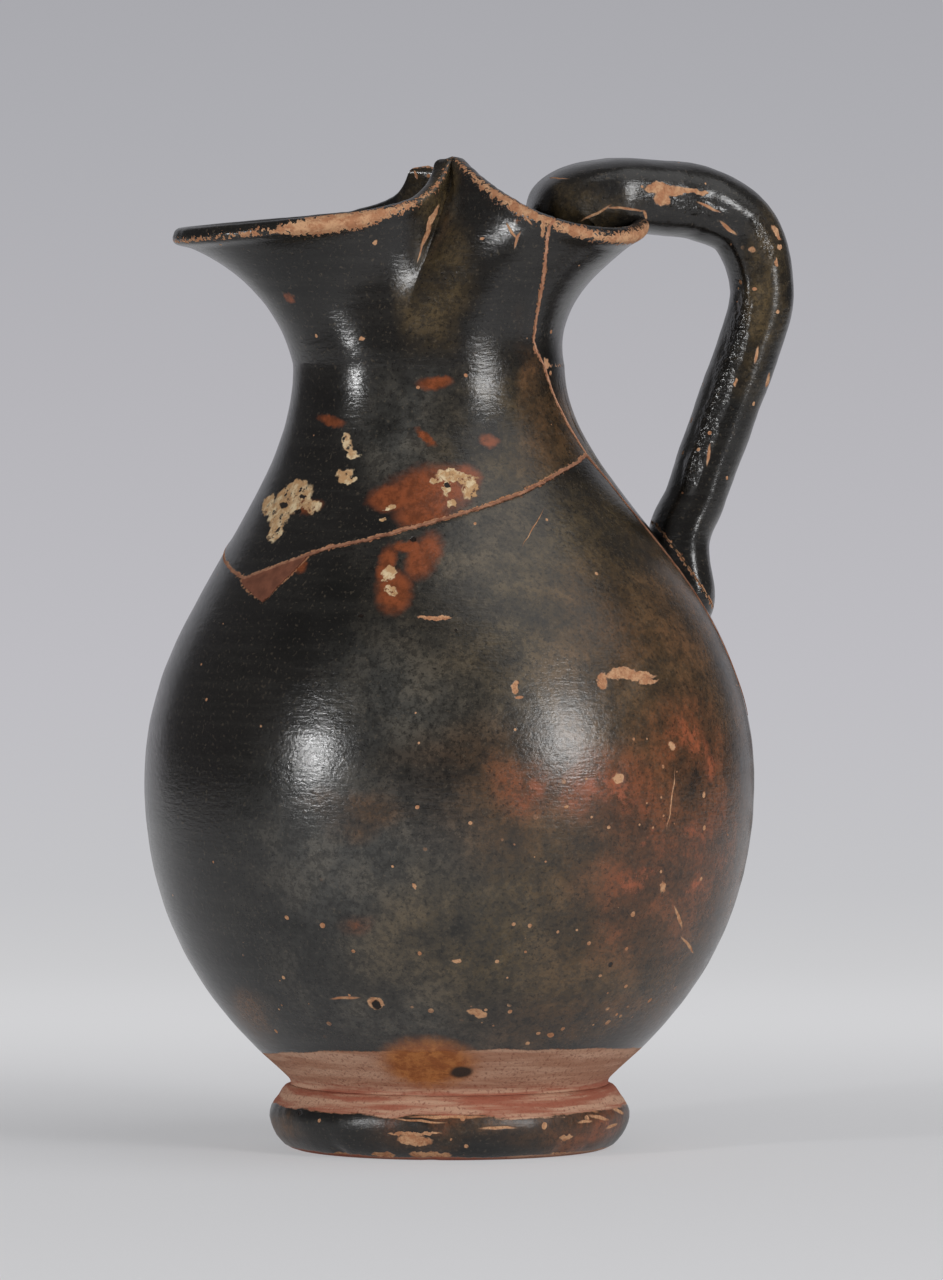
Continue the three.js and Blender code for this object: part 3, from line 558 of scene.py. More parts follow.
def slip_gloss(
    name, piece, blemishes, worn=(), bare_below=None, bare_above=None, dip_tilt=0.0, sheen=0.2
):
    """Black slip gloss: iron-rich clay slip, brushed or dipped on and fired twice, so that it fused
    to a thin black skin (IOR about 1.5, roughness 0.16 to 0.4). The eye sees soft highlights over
    near-black, browner and redder where air reached it in the kiln, and orange clay where it wore
    off. Blemishes are listed by kind, each as its place, half width and half height in the
    photograph's pixels, and its tilt if it has one. Worn lines are an attribute with the distance from
    the line, how far the wear reaches, and how far its border strays and crumbles."""
    look = bpy.data.materials.new(name)
    look.use_nodes = True
    tree = look.node_tree
    place = add_node(tree, "ShaderNodeTexCoord").outputs["Object"]

    def grain(size_mm, detail=2.0, at=place, roughness=0.5):
        return add_node(tree, "ShaderNodeTexNoise", None, {
            "Vector": at, "Scale": 1 / (size_mm * MM), "Detail": detail, "Roughness": roughness,
        })

    def strayed(at, size_mm, reach_mm):
        off = add_node(tree, "ShaderNodeVectorMath", {"operation": "SUBTRACT"}, {
            0: grain(size_mm).outputs["Color"], 1: (0.5, 0.5, 0.5),
        })
        return add_node(tree, "ShaderNodeVectorMath", {"operation": "MULTIPLY_ADD"}, {
            0: off.outputs["Vector"], 1: (reach_mm * MM,) * 3, 2: at,
        }).outputs["Vector"]

    def stretched(x, y, z):
        return add_node(tree, "ShaderNodeVectorMath", {"operation": "MULTIPLY"}, {
            0: place, 1: (x, y, z),
        }).outputs["Vector"]

    def sum_of(operation, *terms):
        total = terms[0]
        for term in terms[1:]:
            total = arithmetic(tree, operation, total, term)
        return total

    def times(*terms):
        return sum_of("MULTIPLY", *terms)

    def largest(*terms):
        return sum_of("MAXIMUM", *terms)

    def fade(value, full, none, most=1.0):
        """`most` up to `full`, falling smoothly to 0 at `none`, which may lie on either side of it."""
        settings = {"interpolation_type": "SMOOTHSTEP"}
        ends = {"From Min": full, "From Max": none, "To Min": most, "To Max": 0.0}
        return add_node(tree, "ShaderNodeMapRange", settings, {"Value": value, **ends}).outputs[0]

    def blend(amount, under, over):
        under, over = (linear(c) if isinstance(c, str) else c for c in (under, over))
        return add_node(tree, "ShaderNodeMixRGB", None, {
            "Fac": amount, "Color1": under, "Color2": over,
        }).outputs["Color"]

    cloud_place = strayed(strayed(place, 18, 16), 4, 3.5)
    # the side that the photograph doesn't show is guessed to be clouded like the near one
    split = add_node(tree, "ShaderNodeSeparateXYZ", None, {0: cloud_place})
    near_y = arithmetic(tree, "ABSOLUTE", split.outputs["Y"])
    folded = add_node(tree, "ShaderNodeCombineXYZ", None, {
        0: split.outputs["X"], 1: times(near_y, -1.0), 2: split.outputs["Z"],
    }).outputs["Vector"]
    chip_place = strayed(strayed(place, 3.4, 1.5), 0.8, 0.9)
    line_place = strayed(place, 4, 0.9)

    def spots(kind, softness, at):
        nearness = 0.0
        for px, py, half_width, half_height, *tilt in blemishes.get(kind, ()):
            # a ball that is 1 at its middle, 0.5 at the blemish's edge and 0 at twice its size
            ball = add_node(tree, "ShaderNodeTexGradient", {"gradient_type": "SPHERICAL"}, {"Vector": at})
            ball.texture_mapping.vector_type = "TEXTURE"
            ball.texture_mapping.translation = seen_at(piece, px, py)
            ball.texture_mapping.rotation = (0, math.radians(sum(tilt)), CAMERA_TURN)
            ball.texture_mapping.scale = [
                2 * PX * reach for reach in (half_width, 1.5 * max(half_width, half_height), half_height)
            ]
            nearness = largest(nearness, ball.outputs["Fac"])
        return fade(nearness, 0.5 + softness / 2, 0.5 - softness / 2)

    # The fired slip: slow drifts in its thickness, strokes left as it turned under the brush, specks.
    drift = grain(30, 2).outputs["Fac"]
    patchy = grain(9, 8, roughness=0.66).outputs["Fac"]
    mottle = grain(2.2, 7, roughness=0.75).outputs["Fac"]
    fine = grain(0.6, 3, roughness=0.6).outputs["Fac"]
    strokes = grain(1.5, 5, stretched(0.07, 0.07, 1.0), 0.6).outputs["Fac"]
    skin = blend(fade(drift, 0.6, 0.4), "#171614", "#211f1d")
    skin = blend(fade(strokes, 0.66, 0.44, 0.25), skin, "#373531")
    speckle = grain(1.3, 7, roughness=0.8).outputs["Fac"]
    islands = fade(speckle, 0.47, 0.52, 0.55)  # small dark islands that stayed thick and black
    dull = 0.0
    for kind, colour, hot, most in (
        ("haze", "#494844", "#5f5b53", 0.9), ("olive", "#4d402b", "#67563b", 0.9),
        ("brown", "#573f29", "#6f4f34", 0.9), ("red", "#66402a", "#8a4d30", 0.95),
    ):
        at = cloud_place if kind == "red" else folded
        cloud = times(spots(kind, 1.0, at), fade(patchy, 0.5, 0.25, most))
        dull = largest(dull, cloud)
        tone = blend(fade(patchy, 0.6, 0.46), colour, hot)
        skin = blend(cloud, skin, blend(islands, tone, skin))
    glow = times(spots("glow", 0.7, cloud_place), fade(mottle, 0.6, 0.45))
    skin = blend(glow, skin, "#a0593a")
    skin = blend(fade(fine, 0.34, 0.43, 0.6), skin, "#141210")
    skin = blend(fade(fine, 0.68, 0.6, 0.3), skin, "#6a5f50")
    russet = times(spots("russet", 0.4, chip_place), fade(mottle, 0.36, 0.28))
    skin = blend(russet, skin, blend(fade(mottle, 0.58, 0.4), "#6b3a22", "#8c4b2c"))

    # what has worn or flaked off: the lip, the edges of the breaks, chips and tiny spalls
    bare = largest(spots("bare", 0.12, chip_place), spots("scratch", 0.3, line_place))
    for line, reach_mm, stray_mm, crumbling_mm in worn:
        distance = add_node(tree, "ShaderNodeAttribute", {"attribute_name": line}).outputs["Fac"]
        distance = sum_of("ADD", distance, times(mottle, stray_mm), times(fine, crumbling_mm))
        border = reach_mm + (stray_mm + crumbling_mm) / 2
        bare = largest(bare, fade(distance, border, border + 0.12))
    for cell_mm, least, most_size, region in (
        (4.0, 0.55, 0.1, None), (2.6, 0.45, 0.2, "pitted"), (2.0, 0.55, 0.3, "spalls"),
    ):
        cells = add_node(tree, "ShaderNodeTexVoronoi", None, {
            "Vector": line_place, "Scale": 1 / (cell_mm * MM),
        })
        chance = add_node(tree, "ShaderNodeSeparateColor", None, {0: cells.outputs["Color"]})
        spall_size = add_node(tree, "ShaderNodeMapRange", None, {
            "Value": chance.outputs["Red"],
            "From Min": least, "From Max": 1.0, "To Min": 0.0, "To Max": most_size,
        }).outputs[0]
        spall = sum_of("LESS_THAN", cells.outputs["Distance"], spall_size)
        if region:
            spall = times(spall, spots(region, 0.2, cloud_place))
        bare = largest(bare, spall)
    clay = blend(fade(mottle, 0.58, 0.42), "#b07a56", "#cd9f78")
    clay = blend(fade(fine, 0.36, 0.44, 0.5), clay, "#8a5638")
    if bare_below or bare_above:
        # the band that no slip covered, pink-tan with a red wash in the crease
        split = add_node(tree, "ShaderNodeSeparateXYZ", None, {0: strayed(place, 7, 0.9)})
        level = sum_of("ADD", split.outputs["Z"], times(fine, 0.5 * MM))
        wash = fade(sum_of("ADD", level, times(mottle, 4 * MM)), 13.4 * MM, 15.4 * MM)
        body = blend(fade(strokes, 0.62, 0.38), "#ab7c62", "#c69d83")
        body = blend(fade(fine, 0.36, 0.44, 0.6), body, "#7c4c3a")
        body = blend(times(wash, fade(strokes, 0.42, 0.6, 0.8)), body, "#a05742")
        edge = 0.0
        if bare_below:
            tilted = sum_of("ADD", level, times(split.outputs["Y"], dip_tilt))
            edge = fade(tilted, bare_below * MM, (bare_below + 0.25) * MM)
        if bare_above:
            stray = sum_of("ADD", times(strokes, 4 * MM), times(patchy, 2.2 * MM))
            over = fade(sum_of("ADD", level, stray), bare_above * MM, (bare_above - 0.35) * MM)
            edge = largest(edge, over)
        clay = blend(edge, clay, body)
        bare = largest(bare, edge)
    skin = blend(bare, skin, clay)
    thumbed = blend(fade(mottle, 0.6, 0.42), "#955528", "#b4723b")
    skin = blend(spots("finger", 0.35, chip_place), skin, thumbed)
    skin = blend(spots("smudge", 0.3, line_place), skin, "#33251c")
    torn = fade(grain(1.3, 6, roughness=0.75).outputs["Fac"], 0.56, 0.6)
    cream = times(spots("cream", 0.12, strayed(chip_place, 1.3, 1.6)), torn)
    skin = blend(cream, skin, blend(fade(mottle, 0.6, 0.44), "#bd9468", "#e0c9a2"))
    # pits painted near-black: painted shade in each hollow, whose depth is only the bump below
    pit_shade = spots("pit_shade", 0.15, chip_place)
    skin = blend(pit_shade, skin, "#1f1712")

    shader = tree.nodes["Principled BSDF"]
    tree.links.new(skin, shader.inputs["Base Color"])
    matte = largest(bare, cream)
    shine = add_node(tree, "ShaderNodeMapRange", None, {
        "Value": mottle, "From Min": 0.3, "From Max": 0.75, "To Min": sheen - 0.04, "To Max": sheen + 0.06,
    }).outputs[0]
    shine = sum_of("ADD", shine, times(dull, 0.08))
    rough = largest(shine, times(matte, 0.85))
    tree.links.new(rough, shader.inputs["Roughness"])
    shader.inputs["IOR"].default_value = 1.5
    # Heights in mm: the dappled skin, the brush's and fingers' faint rings, wrinkled slip, and what is
    # broken away.
    wrinkled = spots("wrinkled", 0.4, line_place)
    relief = sum_of(
        "ADD",
        times(fine, 0.045),
        times(grain(0.7, 4, stretched(0.25, 0.25, 1.0), 0.65).outputs["Fac"], 0.07),
        times(strokes, 0.03),
        times(grain(6, 2).outputs["Fac"], 0.02),
        times(matte, -0.14),
        times(matte, fine, 0.2),
        times(pit_shade, -0.2),
        times(times(wrinkled, grain(0.9, 2).outputs["Fac"]), 0.5),
    )
    bump = add_node(tree, "ShaderNodeBump", None, {"Height": relief, "Distance": MM})
    tree.links.new(bump.outputs["Normal"], shader.inputs["Normal"])
    piece.data.materials.append(look)


DIP_TILT = 0.08  # the slip's edge climbs towards the front, as the jug was dipped aslant
belly_spots = {
    # thick slip hazed to a bluish grey low down
    "haze": (
        (440, 900, 150, 120), (330, 870, 70, 90), (470, 1010, 150, 40), (560, 700, 80, 60),
        (480, 560, 70, 70), (430, 690, 80, 50),
    ),
    # olive and brown over the right shoulder, fired red on the right
    "olive": (
        (590, 600, 120, 100, -20), (650, 690, 90, 80), (545, 880, 80, 70), (480, 940, 90, 60),
        (600, 960, 90, 60),
    ),
    "brown": (
        (620, 640, 60, 60), (690, 640, 60, 80), (680, 830, 110, 170), (700, 800, 90, 120),
        (545, 800, 90, 60), (610, 1010, 100, 30), (250, 1015, 22, 30), (368, 817, 26, 14),
        (323, 803, 14, 9),
    ),
    "red": (
        (692, 745, 34, 40), (620, 790, 56, 34), (650, 870, 46, 60), (700, 850, 50, 70),
        (530, 790, 28, 24), (350, 917, 17, 10),
    ),
    "glow": (
        (690, 735, 16, 14), (708, 752, 9, 10), (610, 786, 17, 14), (527, 789, 11, 11),
        (637, 879, 13, 12), (692, 831, 13, 9), (692, 900, 10, 6), (575, 800, 12, 6), (640, 822, 10, 8),
    ),
    # a russet tongue of slip that ran under the shoulder break, with cream flakes
    "russet": (
        (394, 592, 17, 20, 10), (386, 566, 8, 20, 14), (424, 556, 14, 24, 28), (408, 546, 16, 6, -8),
        (300, 566, 6, 8), (268, 560, 7, 8),
    ),
    "cream": ((389, 573, 8, 7, -20), (391, 592, 7, 5, 10), (385, 580, 4, 3)),
    # chips and scratches down to the clay
    "bare": (
        (630, 676, 30, 4, 2), (603, 681, 5, 8), (622, 672, 14, 4), (649, 682, 12, 3),
        (515, 688, 3, 6, 20), (434, 617, 16, 2, -4), (376, 1003, 8, 6), (477, 1013, 11, 4, 25),
        (618, 779, 5, 5), (672, 745, 4, 4), (413, 886, 2, 2), (455, 962, 4, 2.5), (663, 887, 3, 5),
        (418, 808, 3, 2),
    ),
    "scratch": (
        (519, 697, 4, 1.5), (345, 998, 14, 1.6, -5), (678, 918, 1.5, 14, -20), (688, 945, 1.4, 16, -35),
        (533, 528, 0.5, 22, 30), (671, 800, 0.6, 26, 8),
    ),
    "spalls": ((560, 1022, 90, 14, 2), (490, 1000, 30, 12), (240, 1030, 12, 14)),
    "pitted": ((560, 940, 190, 110), (650, 820, 90, 100), (330, 960, 100, 80)),
    # pits painted near-black: painted shade inside them
    "pit_shade": (
        (376, 1005, 4, 4), (413, 538, 3, 3), (360, 615, 2.5, 2.5), (610, 966, 2.5, 2.5),
        (457, 630, 2, 2),
    ),
    # the mark of the finger that held the jug in the slip, and a smudge beside it
    "finger": ((428, 1064, 45, 27),),
    "smudge": ((461, 1072, 11, 7),),
}
dent(belly, [
    (628, 677, 3.5, 0.25), (376, 1003, 1.8, 0.35), (618, 779, 1.5, 0.3), (672, 745, 1.4, 0.25),
    (477, 1013, 2, 0.25),
])
mark_distance(belly, "to_break", shoulder_line + corner_line)
BREAK_WEAR = ("to_break", 0.32, 1.4, 1.4)
slip_gloss("black slip gloss on the belly", belly, belly_spots, [BREAK_WEAR], 16.5, dip_tilt=DIP_TILT)
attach(belly, "root")
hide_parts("belly")


# Foot: a ring turned on the wheel and luted under the belly with slip, black outside where it was
# dipped, and worn to the clay along its edges, where it has stood and been knocked.
FOOT_RADIUS, FOOT_WIDEST_HEIGHT = 30.9, 5.8
REST_OUTER_RADIUS, REST_INNER_RADIUS = 26.4, 20.6
LUTED_GAP = 0.05  # the slip that luted it fills the joint
FOOT_SPIN_STEPS = 260
foot_seat = CREASE_HEIGHT - LUTED_GAP
foot_profile = [
    (CREASE_RADIUS + out, foot_seat - down) for out, down in ((0.1, 0), (0.9, 0.35), (1.6, 0.9))
] + [
    (FOOT_RADIUS - back, FOOT_WIDEST_HEIGHT + up) for back, up in (
        (1.5, 3.0), (0.85, 2.2), (0.35, 1.3), (0.1, 0.4), (0.08, -0.6), (0.3, -1.6), (0.68, -2.5),
        (1.2, -3.5),
    )
] + [
    (FOOT_RADIUS - back, height) for back, height in ((1.9, 1.45), (2.6, 0.75), (3.5, 0.25))
] + [
    (REST_OUTER_RADIUS, 0), (REST_INNER_RADIUS, 0), (FOOT_BORE_RADIUS + 1.1, 0.55),
    (FOOT_BORE_RADIUS + 0.4, 1.6), (FOOT_BORE_RADIUS, 3.2),
    (FOOT_BORE_RADIUS, foot_seat - FOOT_SEAT_DEPTH),
    (FOOT_BORE_RADIUS + 4, foot_seat - FOOT_SEAT_DEPTH * 0.52),
]
bpy.ops.mesh.primitive_circle_add(vertices=len(foot_profile), fill_type="NOTHING")
foot = bpy.context.object
foot.name = "turned_foot"
for vertex, (radius, height) in zip(foot.data.vertices, foot_profile):
    vertex.co = (Vector((radius, 0, height)) + AXIS) * MM
bpy.ops.object.mode_set(mode="EDIT")
bpy.ops.mesh.select_all(action="SELECT")
bpy.ops.mesh.spin(steps=FOOT_SPIN_STEPS, angle=math.tau, center=AXIS * MM, axis=(0, 0, 1))
bpy.ops.mesh.select_all(action="SELECT")
bpy.ops.mesh.remove_doubles(threshold=1e-6)
bpy.ops.mesh.normals_make_consistent(inside=False)
bpy.ops.object.mode_set(mode="OBJECT")
bpy.ops.object.shade_smooth_by_angle(angle=SMOOTH_UNDER)
for vertex in foot.data.vertices:
    from_axis = (vertex.co / MM - AXIS) * Vector((1, 1, 0))
    if from_axis.length > REST_OUTER_RADIUS + 0.5 and vertex.co.z < 10 * MM:
        dip = 0.22 * noise.noise(vertex.co / MM * 0.16) + 0.1 * noise.noise(vertex.co / MM * 0.5)
        vertex.co += from_axis.normalized() * (dip - 0.2) * MM
dent(foot, [
    (340, 1152, 2.2, 0.5), (384, 1154, 2, 0.45), (430, 1154, 3.2, 0.6), (415, 1140, 2.4, 0.3),
    (560, 1150, 2.2, 0.35),
])
foot_spots = {
    "brown": ((590, 1125, 60, 30), (470, 1128, 60, 12), (290, 1140, 26, 16)),
    "red": ((605, 1120, 46, 22), (425, 1122, 26, 6)),
    # worn to the clay along the edges, scratched where it was knocked
    "bare": (
        (415, 1140, 17, 6, 6), (340, 1154, 12, 3), (384, 1155, 11, 3), (430, 1155, 20, 3.5),
        (415, 1133, 26, 1.6), (560, 1153, 12, 1.8), (566, 1137, 8, 2.4),
    ),
    "scratch": (
        (448, 1117, 36, 1.6), (420, 1121, 22, 1.0, 3), (498, 1128, 16, 1.5), (588, 1108, 12, 2, 25),
        (606, 1102, 12, 1.8, -12), (600, 1118, 14, 1.8, 18), (618, 1110, 10, 1.8, 30),
        (612, 1126, 9, 1.6, -20), (585, 1122, 8, 1.5),
    ),
    "spalls": ((560, 1132, 60, 8), (600, 1108, 24, 12), (480, 1120, 50, 6)),
    "pitted": ((450, 1128, 180, 26),),
    # a pit painted near-black: painted shade inside it
    "pit_shade": ((300, 1112, 3, 2),),
}
slip_gloss("black slip gloss on the foot", foot, foot_spots, bare_below=0.7, bare_above=11, sheen=0.34)
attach(foot, "root")
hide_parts("foot_ring")


# Front sherd of the neck: the spout and both pinches, from the shoulder break to the lip. The mouth
# was pressed in with thumb and finger while the clay was soft, which left a sharp fold on each side.
SHERD_ROWS = 84
SETTLING_PASSES = 5
EDGE_FROM_STAGE, EDGE_STEPS = 1.3, 300
LIP_ANGLES = (18, 36, 54, 72)


def near_break(stage):
    return 0.424 - 0.054 * ramp(1.74, 2.17, stage) - 0.068 * ramp(2.18, 3.15, stage)


def far_break(stage):
    return 0.672 + 0.02 * ramp(1.6, 3, stage) + 0.005 * math.sin(6 * stage)


def neck_edge(line, side, seed):
    """The edge of a sherd along a neck break: its column at each stage, to look up."""
    values = []
    for i in range(EDGE_STEPS + 1):
        stage = EDGE_FROM_STAGE + (3 - EDGE_FROM_STAGE) * i / EDGE_STEPS
        column = line(stage)
        round_ = (outer_point(column + STEP, stage) - outer_point(column, stage)).length
        off = side * SEAM_WIDTH / 2 + ragged(stage * 60, seed) + side * 0.1 * noise.noise(
            Vector((stage * 90, seed, side))
        )
        values.append(column + off * STEP / round_)

    def look_up(stage):
        share = (stage - EDGE_FROM_STAGE) / (3 - EDGE_FROM_STAGE)
        at = min(EDGE_STEPS - 0.001, max(0, share * EDGE_STEPS))
        return mix(values[int(at)], values[int(at) + 1], at % 1)

    return look_up


def lip_roughness(column):
    """How far the lip is worn down at a column, in mm."""
    around = Vector((math.cos(column * math.tau), math.sin(column * math.tau), 0))
    worn = noise.noise(around * 9) + 0.6 * noise.noise(around * 31)
    return 0.14 + 0.22 * max(-0.5, worn)


def close_ends(rows):
    """Adds a row at either end, folded flat on itself, that closes the piece's side."""
    count = len(rows[0]) - 1
    for end in (0, -1):
        row = rows[end][:count]
        flat = [(row[k] + row[count - 1 - k]) / 2 for k in range(count)]
        rows.insert(0 if end == 0 else len(rows), flat + flat[:1])
    return rows


def round_wall(outer, inner):
    """One row round a piece of wall: up the outside, down the inside and back to its start."""
    return outer + inner[::-1] + outer[:1]


def over_lip(column, degrees, reach, rise):
    """The outer and inner point of the lip's round edge, so many degrees up from its sides."""
    outward, up = wall_axes(column, 3)
    angle = math.radians(degrees)
    centre = outer_point(column, 3) - outward * (WALL_AT_LIP / 2) + up * math.sin(angle) * rise
    side = outward * math.cos(angle) * reach
    return centre + side, centre - side


def sherd_rows(left, right, starts, held):
    """Rows of points over a sherd, each up the outside, over the lip and down the inside."""
    held_from, held_to = held
    first, last = starts[0], starts[-1]

    def foot(column):
        # past the sherd's own corners its foot runs on level, so that its rows don't cross
        return sherd_foot(min(max(column, first), last))

    def edge_column(line, share):
        column = line(2)
        for _ in range(SETTLING_PASSES):
            column = line(mix(foot(column), 3, share))
        return column

    shares = [j / SHERD_ROWS for j in range(SHERD_ROWS + 1)]
    edges = [(edge_column(left, share), edge_column(right, share)) for share in shares]
    rows = []
    for start in starts:
        outer, inner = [], []
        for share, (left_column, right_column) in zip(shares, edges):
            column = start
            if start < held_from:
                column = mix(left_column, held_from, (start - first) / (held_from - first))
            if start > held_to:
                column = mix(held_to, right_column, (start - held_to) / (last - held_to))
            stage = mix(foot(column), 3, share)
            point = outer_point(column, stage)
            outward, _ = wall_axes(column, stage)
            wear = EDGE_WEAR if share == 0 else -hand_wobble(point) * ramp(3, 2.9, stage)
            outer.append(point - outward * wear)
            inner.append(point - outward * wall_at(stage))
        half = WALL_AT_LIP / 2
        for degrees in LIP_ANGLES:
            rise = half - lip_roughness(column) * math.sin(math.radians(degrees))
            lip_outer, lip_inner = over_lip(column, degrees, half, rise)
            outer.append(lip_outer)
            inner.append(lip_inner)
        rows.append(round_wall(outer, inner))
    return close_ends(rows)


def spread(*spans):
    """Columns spaced evenly over each span in turn: its start, its end and its number of steps."""
    columns = [mix(a, b, i / steps) for a, b, steps in spans for i in range(steps)]
    return columns + [spans[-1][1]]


front_left, front_right = neck_edge(far_break, 1, 11), neck_edge(near_break, -1, 13)
back_left, back_right = neck_edge(near_break, 1, 13), neck_edge(far_break, -1, 11)


def corner_column(edge):
    column = edge(2)
    for _ in range(SETTLING_PASSES):
        column = edge(sherd_foot(column))
    return column


front = wrap_sheet("spout_sherd", sherd_rows(
    lambda stage: front_left(stage) - 1,
    front_right,
    spread(
        (corner_column(front_left) - 1, -PINCH_SHARE, 46), (-PINCH_SHARE, PINCH_SHARE, 190),
        (PINCH_SHARE, corner_column(front_right), 64),
    ),
    (-PINCH_SHARE, PINCH_SHARE),
))
bpy.ops.object.shade_smooth_by_angle(angle=SMOOTH_UNDER)
NECK_LINE_STEPS = 600
near_line, far_line = (
    [outer_point(line(stage), stage) for stage in (
        mix(start, 3, i / NECK_LINE_STEPS) for i in range(NECK_LINE_STEPS + 1)
    )]
    for line, start in ((near_break, 1.6), (far_break, 1.4))
)
front_spots = {
    "haze": ((410, 430, 44, 40), (470, 500, 50, 40)),
    "olive": (
        (530, 450, 60, 60, 20), (436, 290, 26, 50), (440, 190, 14, 34, 12), (432, 200, 10, 30, 20),
    ),
    "brown": ((555, 425, 26, 50, 20), (545, 360, 12, 40)),
    # russet slip round the fold's foot, and specks of the same above
    "russet": (
        (430, 492, 40, 24, -8), (392, 499, 22, 12), (424, 516, 26, 12), (466, 480, 14, 14),
        (435, 383, 15, 6), (330, 421, 14, 5, 10), (426, 437, 12, 4, 40), (488, 441, 9, 6),
        (302, 505, 20, 8), (289, 298, 6, 5),
    ),
    # cream flakes in the russet, then a pale yellow scar with pits in it, painted near-black as the shade
    # in each hollow
    "cream": (
        (456, 477, 20, 5, 8), (470, 489, 8, 11, 20), (446, 487, 4, 8), (452, 503, 6, 4),
        (435, 480, 6, 3), (390, 508, 5, 3), (383, 520, 4, 2), (348, 444, 5, 12, -14), (353, 455, 8, 4),
        (345, 475, 9, 6), (350, 480, 7, 3), (292, 498, 24, 15, -20), (279, 514, 14, 15, 20),
        (276, 532, 8, 11, 14), (310, 504, 12, 7, 20), (297, 487, 12, 7, -30), (268, 505, 7, 12),
    ),
    # the torn edge of the near fold, and chips and scratches about it
    "bare": (
        (433, 218, 3, 15, 24), (402, 181, 5, 2, 60), (375, 243, 3, 2.5), (362, 338, 3, 2),
        (481, 239, 3, 2), (542, 226, 2.4, 12), (539, 304, 2.4, 4), (541, 358, 2.2, 7, -20),
    ),
    "scratch": (
        (426, 236, 2, 12, 24), (421, 252, 0.9, 10, 14), (512, 231, 1.2, 9, -35), (517, 240, 1.2, 8, 20),
        (527, 219, 7, 1, 50),
    ),
    "spalls": ((430, 175, 14, 14), (505, 215, 20, 14, 30), (541, 330, 6, 60)),
    # pits painted near-black: painted shade inside them
    "pit_shade": ((284, 505, 5, 3), (297, 512, 4, 3), (302, 497, 4, 2), (446, 484, 3, 3)),
}
mark_distance(front, "to_lip", lip_line, lip_widths)
mark_distance(front, "to_break", shoulder_line + near_line + far_line)
LIP_WEAR = ("to_lip", -0.15, 3.0, 4.5)
slip_gloss("black slip gloss on the spout", front, front_spots, [LIP_WEAR, BREAK_WEAR])
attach(front, "root")
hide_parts("neck_front_sherd")


# Handle: a strap pulled from a lump of clay, pressed over the back of the lip and down on to the
# shoulder while both were leather-hard. It snapped just over its lower root, which stays as a stump.
HANDLE_HALF_THICKNESS, HANDLE_HALF_WIDTH = 5.3, 7.3
HANDLE_REACH, HANDLE_BEND_HEIGHT, HANDLE_RISE = 54.4, 145.5, 162.75
HANDLE_END_HEIGHT, ROOT_BREAK_HEIGHT, HANDLE_END_ROUNDING = 88.8, 98.5, 0.035
STUMP_PROUD, STUMP_BITE, STUMP_GAP = 0.9, 1.5, 0.12
HANDLE_RINGS, HANDLE_SIDES = 250, 60
RIDGE_AT, HOLLOW_AT, RIDGE_SPREAD, RIDGE_HEIGHT, HOLLOW_DEPTH = 128, 100, 13, 0.4, 0.35
BLOCK_COLUMNS, BLOCK_ROWS = 240, 40


def wall_back(height):
    return outer_point(0.5, stage_at(0.5, height)).x


t, w, bend_height, rise = HANDLE_HALF_THICKNESS, HANDLE_HALF_WIDTH, HANDLE_BEND_HEIGHT, HANDLE_RISE
# each station: its middle, half thickness, half width, and how square its section is (2 is round)
stations = (
    (BACK_REACH - 12.6, rise - 15.5, 0.6 * t, 1.2 * w, 2),
    (BACK_REACH - 14, rise - 8.6, 0.95 * t, 1.5 * w, 2.4),
    (BACK_REACH - 12.6, rise - 3.5, 1.32 * t, 1.72 * w, 3),
    (BACK_REACH - 5.6, rise - 1.2, 1.27 * t, 1.72 * w, 3.2),
    (BACK_REACH + 3.5, rise - 1.3, 1.25 * t, 1.4 * w, 2.8),
    (BACK_REACH + 11, rise - 2.5, 1.23 * t, 1.12 * w, 2.3),
    (HANDLE_REACH - 3.7, rise - 6.7, 1.15 * t, w, 2.1),
    (HANDLE_REACH - 0.4, bend_height, 1.06 * t, w, 2.1),
    (HANDLE_REACH - 3, bend_height - 10.2, 1.04 * t, w, 2.1),
    (HANDLE_REACH - 6.2, bend_height - 19, 1.04 * t, w, 2.1),
    (HANDLE_REACH - 9.5, bend_height - 28, 1.03 * t, 0.97 * w, 2.1),
    (wall_back(ROOT_BREAK_HEIGHT + 11.5) + 11.6, ROOT_BREAK_HEIGHT + 11.5, t, w, 2.1),
    (wall_back(ROOT_BREAK_HEIGHT + 4.5) + 3.3, ROOT_BREAK_HEIGHT + 4.5, 1.05 * t, 1.08 * w, 2.1),
    (wall_back(HANDLE_END_HEIGHT) - 3.6, HANDLE_END_HEIGHT, 0.95 * t, 1.2 * w, 2.1),
)


def through(points, share):
    """A point on the smooth curve through points, whose knots are spaced by the root of their gaps."""
    at = share * (len(points) - 1)
    i = min(int(at), len(points) - 2)
    t = at - i
    before = points[i - 1] if i else points[0] * 2 - points[1]
    after = points[i + 2] if i + 2 < len(points) else points[-1] * 2 - points[-2]
    here, there = points[i], points[i + 1]
    gaps = [math.sqrt((b - a).length) for a, b in ((before, here), (here, there), (there, after))]
    leave = (here - before) / gaps[0] - (there - before) / (gaps[0] + gaps[1]) + (there - here) / gaps[1]
    meet = (there - here) / gaps[1] - (after - here) / (gaps[1] + gaps[2]) + (after - there) / gaps[2]
    leave, meet = leave * gaps[1], meet * gaps[1]
    return (
        here + leave * t + (there * 3 - here * 3 - leave * 2 - meet) * (t * t)
        + (here * 2 - there * 2 + leave + meet) * (t * t * t)
    )


def ridge(angle):
    """The strokes that pulled the strap left a ridge along either inner edge, and a hollow beside it."""
    from_side = abs(math.degrees(angle) - 180)  # 90 is the strap's edge, 180 its inner face
    crest, hollow = (from_side - RIDGE_AT) / RIDGE_SPREAD, (from_side - HOLLOW_AT) / RIDGE_SPREAD
    return RIDGE_HEIGHT * math.exp(-crest * crest) - HOLLOW_DEPTH * math.exp(-hollow * hollow)


